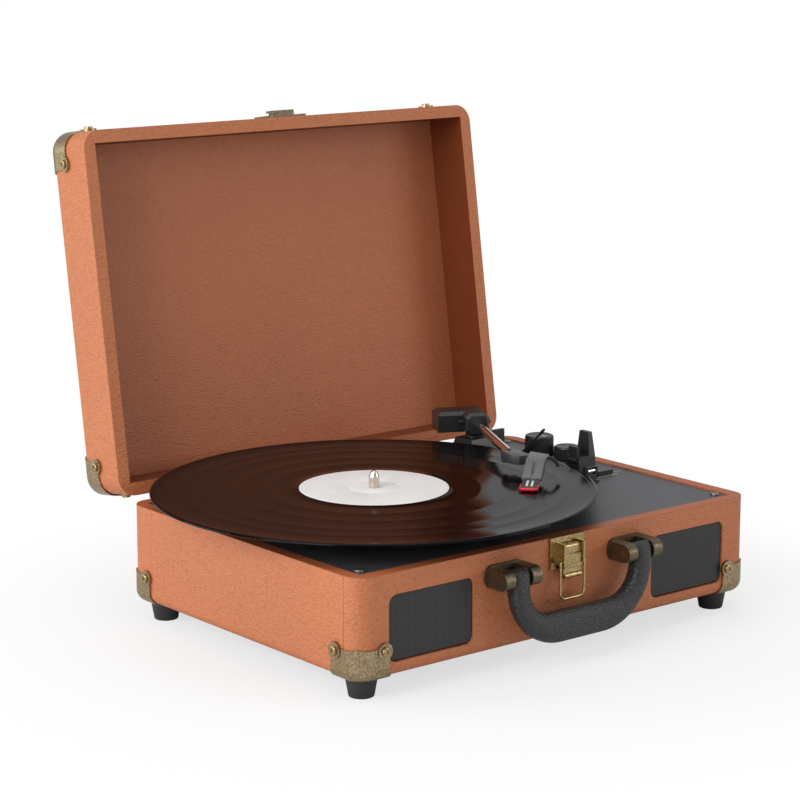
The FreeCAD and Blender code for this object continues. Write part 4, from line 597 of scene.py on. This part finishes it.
# ------------------------------------------------------------------ speaker grilles
GRILLE_CORNER = 5.4 * MM
GRILLE_STEP = 0.34 * MM  # spacing of the mesh that carries the weave
DIMPLE = 0.16 * MM  # half the depth of the weave, which fades out near the rim
DIMPLE_FADE = 1.2 * MM
EDGE_DROP, EDGE_WIDTH = 0.35 * MM, 0.8 * MM  # the rim's rounding
for side in ("left", "right"):
    lo, hi = corners(side + "_grille")
    centre = (lo + hi) / 2
    half_x = (hi.x - lo.x) / 2
    half_z = (hi.z - lo.z) / 2
    columns = round(2 * half_x / GRILLE_STEP)
    lines = round(2 * half_z / GRILLE_STEP)
    rows = []
    for j in range(lines + 1):
        z = -half_z + 2 * half_z * j / lines
        inset = 0.0
        over = abs(z) - (half_z - GRILLE_CORNER)
        if over > 0:
            inset = GRILLE_CORNER - math.sqrt(max(0.0, GRILLE_CORNER ** 2 - over ** 2))
        row = []
        for i in range(columns + 1):
            x = (-1 + 2 * i / columns) * (half_x - inset)
            dots = (math.sin(WEAVE * (centre.x + x + centre.z + z))
                    * math.sin(WEAVE * (centre.x + x - centre.z - z)))
            rim = min(half_x - inset - abs(x), half_z - abs(z))
            fade = min(1.0, rim / DIMPLE_FADE)
            dip = DIMPLE * (1 - dots) * fade + EDGE_DROP * (1 - min(1.0, rim / EDGE_WIDTH)) ** 2
            row.append(Vector((centre.x + x, lo.y + 0.02 * MM + dip, centre.z + z)))
        rows.append(row)
    panel = Shape()
    panel.skin(rows)
    border = rows[0] + [row[-1] for row in rows[1:]] + rows[-1][-2::-1] + [row[0] for row in rows[-2:0:-1]]
    panel.skin([border, [Vector((p.x, hi.y, p.z)) for p in border]], closed=True)
    piece(side + "_grille_mesh", panel, "grille", "case", (side + "_grille",), sharp=60)

# ------------------------------------------------------------------ rubber feet
feet = Shape()
foot_lo, foot_hi = corners("rubber_feet")
FOOT_RADIUS, FOOT_HEIGHT = 10.4, 14.0
foot_profile = eased([(0, 0.5), (6.2, 0.5), (6.4, 0.0), (8.15, 0.0), (10.1, 11.0),
                      (FOOT_RADIUS, FOOT_HEIGHT), (0, FOOT_HEIGHT)], 1.3)
for x in (foot_lo.x + FOOT_RADIUS * MM, foot_hi.x - FOOT_RADIUS * MM):
    for y in (foot_lo.y + FOOT_RADIUS * MM, foot_hi.y - FOOT_RADIUS * MM):
        feet.lathe(Vector((x, y, 0)), foot_profile, 64)
piece("rounded_feet", feet, "rubber", "case", ("rubber_feet",), sharp=50)


# ------------------------------------------------------------------ knobs
RIBS = 44
RIB_DEPTH = 0.16


def knob(name, node, body):
    """A ribbed cap with a printed mark, on the knob's CAD box."""
    lo, hi = corners(node)
    place = Vector(((lo.x + hi.x) / 2, (lo.y + hi.y) / 2, DECK_HI.z))
    r = (hi.x - lo.x) / 2 / MM
    top = (hi.z - DECK_HI.z) / MM

    def ribbed(angle, radius, z):
        if radius < r - 1.6 or z > top - 1.3 or z < 1.6:
            return radius
        return radius - RIB_DEPTH * (1 + math.cos(RIBS * angle))

    profile = eased([(0, 1.05), (r - 0.7, 1.05), (r, 1.7), (r - 0.05, 1.9), (r * 0.98, top * 0.6),
                     (r * 0.97, top - 1.35), (r * 0.97 - 0.3, top - 0.5), (r * 0.97 - 1.3, top - 0.02),
                     (r - 2.8, top - 0.05), (r - 3.2, top - 0.35), (0, top - 0.35)], 0.3, 3)
    cap = Shape()
    cap.lathe(place, profile, 8 * RIBS, radius=ribbed)
    piece(name, cap, "black", body, (node,), sharp=45)
    mark = Shape()
    mark.prism([(-0.45, r - 8.0), (0.45, r - 8.0), (0.45, r - 3.6), (-0.45, r - 3.6)],
               lambda u, v: place + Vector((u * MM, -v * MM, (top - 0.4) * MM)),
               lambda u, v: place + Vector((u * MM, -v * MM, (top - 0.1) * MM)))
    piece(name + "_mark", mark, "print", body, bevel=0.08)


knob("tall_knob_cap", "volume_knob", "volume_knob")
knob("low_knob_cap", "function_knob", "function_knob")

# ------------------------------------------------------------------ cue lever
cue_lo, cue_hi = corners("cue_lever")
foot = Vector(((cue_lo.x + cue_hi.x) / 2, joint_place("cue_lift").y, joint_place("cue_lift").z))
tip = Vector((foot.x, cue_lo.y + 1.3 * MM, cue_hi.z - 1.3 * MM))
stick = Shape()
line = [foot.lerp(tip, t) for t in (0.0, 0.02, 0.1, 0.3, 0.6, 0.8, 0.86, 0.95, 0.985, 1.0)]
widths = (1.2, 1.2, 1.2, 1.05, 0.85, 0.8, 1.15, 1.15, 0.8, 0.25)
stick.skin(tube_rows(line, lambda t: widths[round(t * (len(widths) - 1))]), closed=True, caps=True)
stick.lathe(foot - Vector((1.2 * MM, 0, 0)), [(0, 0), (2.1, 0), (2.4, 0.3), (2.4, 2.1), (2.1, 2.4), (0, 2.4)],
            32, axes=SIDEWAYS)
piece("cue_stick", stick, "black", "cue_lever", ("cue_lever",), sharp=50)

# ------------------------------------------------------------------ head of the tonearm
HEAD_TURN = math.radians(22)
HEAD_U = ARM_ALONG * math.cos(HEAD_TURN) - ARM_SIDE * math.sin(HEAD_TURN)
HEAD_V = ARM_ALONG * math.sin(HEAD_TURN) + ARM_SIDE * math.cos(HEAD_TURN)
HEAD_ALONG, HEAD_ASIDE = 161 * MM, 1.8 * MM
HEAD = ARM + ARM_ALONG * HEAD_ALONG + ARM_SIDE * HEAD_ASIDE


def on_head(a, b, z):
    """A place, in mm, along, across and above the head, which is turned from the arm."""
    return HEAD + HEAD_U * (a * MM) + HEAD_V * (b * MM) + UP * (z * MM)


def on_arm(a, b, z):
    """A place, in mm, along, beside and above the arm's pivot."""
    return ARM + ARM_ALONG * (a * MM) + ARM_SIDE * (b * MM) + UP * (z * MM)


def head_slab(shape, profile, half, middle=0.0):
    """A solid from an (along, up) outline, as wide as twice half."""
    shape.prism(profile, lambda u, v: on_head(u, middle - half, v), lambda u, v: on_head(u, middle + half, v))


def plan_slab(shape, outline, low, high, place=on_arm):
    """A solid from a plan outline between two heights."""
    shape.prism(outline, lambda u, v: place(u, v, low), lambda u, v: place(u, v, high))


shell = Shape()
plan_slab(shell, [(-19.0, 6.6), (-21.0, -6.6), (-45.0, -6.8), (-37.5, 7.4)], 0.4, 3.0, on_head)
piece("head_top", shell, "grey", "tonearm", ("headshell",), bevel=0.5)
link = Shape()
plan_slab(link, [(101.5, -5.0), (110.5, -5.6), (120.5, -3.0), (126.0, 2.0), (124.0, 12.0), (112.0, 8.0),
                 (101.5, 5.0)], -4.6, 1.9)
plan_slab(link, [(104.0, -5.4), (109.0, -5.6), (109.0, -1.0), (104.0, -1.0)], -6.4, -4.4)
piece("head_link", link, "dark_grey", "tonearm", bevel=0.6)
finger = Shape()
path = [on_head(-31, 5.5, 2.0), on_head(-31.5, 8.5, 1.9), on_head(-32, 11.0, 0.7), on_head(-32.4, 13.0, -1.4),
        on_head(-32.6, 14.0, -3.0), on_head(-32.7, 14.6, -3.8)]
finger.skin(tube_rows(path, lambda t: 1.1 if t < 0.75 else 1.5), closed=True, caps=True)
piece("finger_lift", finger, "black", "tonearm", sharp=60)

cart = Shape()
cheek = [(-23.5, 0.6), (-20.2, 2.9), (1.4, -5.1), (1.4, -6.7), (-3, -7.8), (-22, -5.2)]
for middle in (-3.6, 3.6):
    head_slab(cart, cheek, 2.9, middle)
head_slab(cart, [(-23.5, 0.2), (-19.6, 2.4), (-17.2, 1.4), (-16.8, 0.4), (-4.4, -4.2), (-4.0, -3.4),
                 (1.3, -5.3), (1.3, -6.6), (-3, -7.6), (-22, -5.0)], 0.72)
piece("cartridge_body", cart, "grey", "tonearm", ("cartridge",), bevel=0.22)
block = Shape()
head_slab(block, [(1.3, -5.5), (3.5, -5.8), (13.5, -8.0), (15.2, -8.9), (15.2, -9.5), (4, -9.3),
                  (1.3, -6.8)], 5.7)
piece("stylus_block", block, "black", "tonearm", ("stylus",), bevel=0.3)
core = Shape()
for middle in (-1.7, 1.7):
    head_slab(core, [(5.0, -6.0), (12.4, -7.6), (14.4, -8.5), (14.4, -9.0), (5.0, -7.0)], 0.75, middle)
head_slab(core, [(5.0, -6.2), (8.0, -6.8), (8.0, -7.8), (5.0, -7.0)], 1.9)
piece("stylus_core", core, "white", "tonearm", bevel=0.15)
guard = Shape()
guard_outline = [(15.6, -5.2), (17.4, -5.6), (19.4, -4.4), (19.4, 4.4), (17.4, 5.6), (15.6, 5.2)]
plan_slab(guard, eased(guard_outline, 0.8, 3, True), -9.75, -8.5, on_head)
for side in (-1, 1):
    head_slab(guard, [(9.0, -7.3), (11.0, -7.5), (18.2, -8.9), (18.2, -9.7), (14.0, -9.7)], 0.35, side * 6.0)
piece("stylus_guard", guard, "red", "tonearm", bevel=0.3)
needle = Shape()
needle.skin(tube_rows([on_head(15.0, 0, -9.3), on_head(17.6, 0, -9.75), on_head(18.3, 0, -9.9)], 0.28, 10),
            closed=True, caps=True)
needle.lathe(on_head(18.3, 0, -10.34), [(0, 0), (0.28, 0.5), (0, 0.62)], 12)
piece("needle_rod", needle, "chrome", "tonearm", sharp=60)

# ------------------------------------------------------------------ small details on the arm rest
rest_lo, rest_hi = corners("arm_rest_post")
rest_x = (rest_lo.x + rest_hi.x) / 2
roller = Shape()
spot = Vector((rest_x + 2.6 * MM, rest_lo.y + 1.6 * MM, DECK_HI.z + 9.0 * MM))
roller.lathe(spot - Vector((3.4 * MM, 0, 0)), eased([(0, 0), (1.9, 0), (1.9, 6.8), (0, 6.8)], 0.3, 3), 32,
             axes=SIDEWAYS)
piece("rest_roller", roller, "chrome", "case", sharp=50)
cradle = Shape()
for dx in (-4.6, 4.6):
    cradle.prism([(-2.4, -2.9), (2.0, -2.9), (2.0, 2.9), (-2.4, 2.9)],
                 lambda u, v, dx=dx: spot + Vector(((dx - 0.7) * MM, u * MM, v * MM)),
                 lambda u, v, dx=dx: spot + Vector(((dx + 0.7) * MM, u * MM, v * MM)))
for dz in (-3.0, 3.0):
    cradle.prism([(-5.3, -2.4), (5.3, -2.4), (5.3, 2.0), (-5.3, 2.0)],
                 lambda u, v, dz=dz: spot + Vector((u * MM, v * MM, (dz - 0.5) * MM)),
                 lambda u, v, dz=dz: spot + Vector((u * MM, v * MM, (dz + 0.5) * MM)))
piece("rest_cradle", cradle, "dark_grey", "case", bevel=0.25)

# ------------------------------------------------------------------ printed marks on the deck
marks = Shape()
PRINT_LOW = DECK_HI.z + 0.01 * MM
PRINT_HIGH = DECK_HI.z + 0.09 * MM


def stroke(x0, y0, x1, y1, width=0.55):
    """A printed line on the deck, in mm from the middle of the case."""
    start = Vector((CASE.x + x0 * MM, CASE.y + y0 * MM))
    end = Vector((CASE.x + x1 * MM, CASE.y + y1 * MM))
    side = (end - start).normalized() * (width * MM / 2)
    side = Vector((-side.y, side.x))
    marks.prism([(start + side)[:], (end + side)[:], (end - side)[:], (start - side)[:]],
                lambda u, v: Vector((u, v, PRINT_LOW)), lambda u, v: Vector((u, v, PRINT_HIGH)))


for x in (133.5, 140.0, 146.5):
    stroke(x, -8.6, x, -4.6)
stroke(150.5, -14.0, 158.5, -14.0)
stroke(130.5, -19.5, 149.5, -19.5)
DIAL_X, DIAL_Y = 142.1, 56.0
DIAL_INNER, DIAL_OUTER = 12.0, 13.3
for k in range(9):
    a = math.radians(215 + k * 28)
    end_x = DIAL_X + DIAL_OUTER * math.cos(a)
    end_y = DIAL_Y + DIAL_OUTER * math.sin(a)
    if 131.5 < end_x < 161 and end_y < 66.5:
        stroke(DIAL_X + DIAL_INNER * math.cos(a), DIAL_Y + DIAL_INNER * math.sin(a), end_x, end_y, 0.4)
stroke(139.5, 27.5, 139.5, 23.5)
stroke(146.0, 25.6, 146.0, 21.6)
stroke(153.5, 25.2, 153.5, 21.2)
piece("deck_marks", marks, "print", "case")

# ------------------------------------------------------------------ the covering's seam on the left wall
seam = Shape()
SEAM_FROM_FRONT = 13.5 * MM
SEAM_HALF = 0.2 * MM
seam_y = BASE_LO.y + SEAM_FROM_FRONT
seam_low = BASE_LO.z + 8 * MM
seam_high = BASE_HI.z - 0.1 * MM
seam.prism([(seam_y - SEAM_HALF, seam_low), (seam_y + SEAM_HALF, seam_low),
            (seam_y + SEAM_HALF, seam_high), (seam_y - SEAM_HALF, seam_high)],
           lambda u, v: Vector((BASE_LO.x - 0.03 * MM, u, v)),
           lambda u, v: Vector((BASE_LO.x + 0.2 * MM, u, v)))
piece("covering_seam", seam, "seam", "case")

# ------------------------------------------------------------------ floor, light and camera
def seen_by_camera(tree, glossy):
    """Two masks: camera, transmission and part of the glossy rays, then the first two kinds alone."""
    path = tree.nodes.new("ShaderNodeLightPath").outputs
    clear = math_node(tree, "MAXIMUM", path["Is Camera Ray"], path["Is Transmission Ray"])
    dim = math_node(tree, "MULTIPLY", path["Is Glossy Ray"], glossy)
    return math_node(tree, "MAXIMUM", clear, dim), clear


floor_mesh = bpy.data.meshes.new("floor")
floor_mesh.from_pydata([(-12, -12, 0), (12, -12, 0), (12, 12, 0), (-12, 12, 0)], [], [(0, 1, 2, 3)])
floor_obj = bpy.data.objects.new("floor", floor_mesh)
bpy.context.scene.collection.objects.link(floor_obj)
ground = Mat("white_floor", (0.86, 0.86, 0.86, 1), rough=0.9, spec=0.05)
offset = ground.vector("SUBTRACT", ground.coord, (CASE.x, CASE.y, 0))
# The floor near the case takes its light and shadow, and turns to plain white within 0.4 m.
far = ground.node("ShaderNodeMapRange", interpolation_type="SMOOTHSTEP")
for setting, value in (("From Min", 0.17), ("From Max", 0.4), ("To Min", 0.68), ("To Max", 1.0)):
    far.inputs[setting].default_value = value
ground.link(ground.length(offset), far.inputs["Value"])
direct = seen_by_camera(ground.tree, 0.0)[1]
glow = ground.node("ShaderNodeEmission")
glow.inputs["Strength"].default_value = 1.0
blend = ground.node("ShaderNodeMixShader")
ground.link(ground.math("MULTIPLY", far.outputs["Result"], direct), blend.inputs[0])
ground.link(ground.shader.outputs[0], blend.inputs[1])
ground.link(glow.outputs[0], blend.inputs[2])
ground.link(blend.outputs[0], ground.tree.nodes["Material Output"].inputs["Surface"])
floor_mesh.materials.append(ground.material)

world = bpy.data.worlds.new("studio")
bpy.context.scene.world = world
world.use_nodes = True
sky = world.node_tree
back = sky.nodes["Background"]
back.inputs["Color"].default_value = (1, 1, 1, 1)
shown = seen_by_camera(sky, 0.35)[0]
level = sky.nodes.new("ShaderNodeMapRange")
level.inputs["To Min"].default_value = 0.36
level.inputs["To Max"].default_value = 1.0
sky.links.new(shown, level.inputs["Value"])
sky.links.new(level.outputs["Result"], back.inputs["Strength"])


def lamp(name, place, target, size, power):
    """A square area lamp aimed at target."""
    data = bpy.data.lights.new(name, "AREA")
    data.shape = "SQUARE"
    data.size = size
    data.energy = power
    obj = bpy.data.objects.new(name, data)
    obj.location = place
    obj.rotation_euler = (Vector(target) - Vector(place)).to_track_quat("-Z", "Y").to_euler()
    bpy.context.scene.collection.objects.link(obj)


lamp("key_left", (-2.3, -0.5, 1.1), (0, 0, 0.1), 1.5, 44)
lamp("haze_behind", (-2.0, 1.7, 0.8), (0, 0, 0.1), 1.4, 22)
lamp("fill_front", (1.9, -1.9, 0.8), (0, 0, 0.1), 1.3, 14)
lamp("top", (0.0, 0.2, 2.4), (0, 0, 0), 2.2, 18)

# The camera fitted to the photograph: its direction, and its place along, beside and above the case.
AZIMUTH = math.radians(-39.123)
ELEVATION = math.radians(11.565)
CAMERA_BACK, CAMERA_RIGHT, CAMERA_UP = 1.702361, -0.028181, 0.133496
level_out = math.cos(ELEVATION)
forward = Vector((-math.sin(AZIMUTH) * level_out, math.cos(AZIMUTH) * level_out, -math.sin(ELEVATION)))
right = Vector((math.cos(AZIMUTH), math.sin(AZIMUTH), 0))
up = right.cross(forward)
camera_data = bpy.data.cameras.new("camera")
camera_data.sensor_width = 36
camera_data.lens = 110.49
camera_data.clip_end = 30
camera = bpy.data.objects.new("camera", camera_data)
camera.location = CASE - forward * CAMERA_BACK + right * CAMERA_RIGHT + up * CAMERA_UP
camera.rotation_euler = forward.to_track_quat("-Z", "Y").to_euler()
bpy.context.scene.collection.objects.link(camera)
bpy.context.scene.camera = camera
bpy.context.scene.view_settings.view_transform = "Standard"
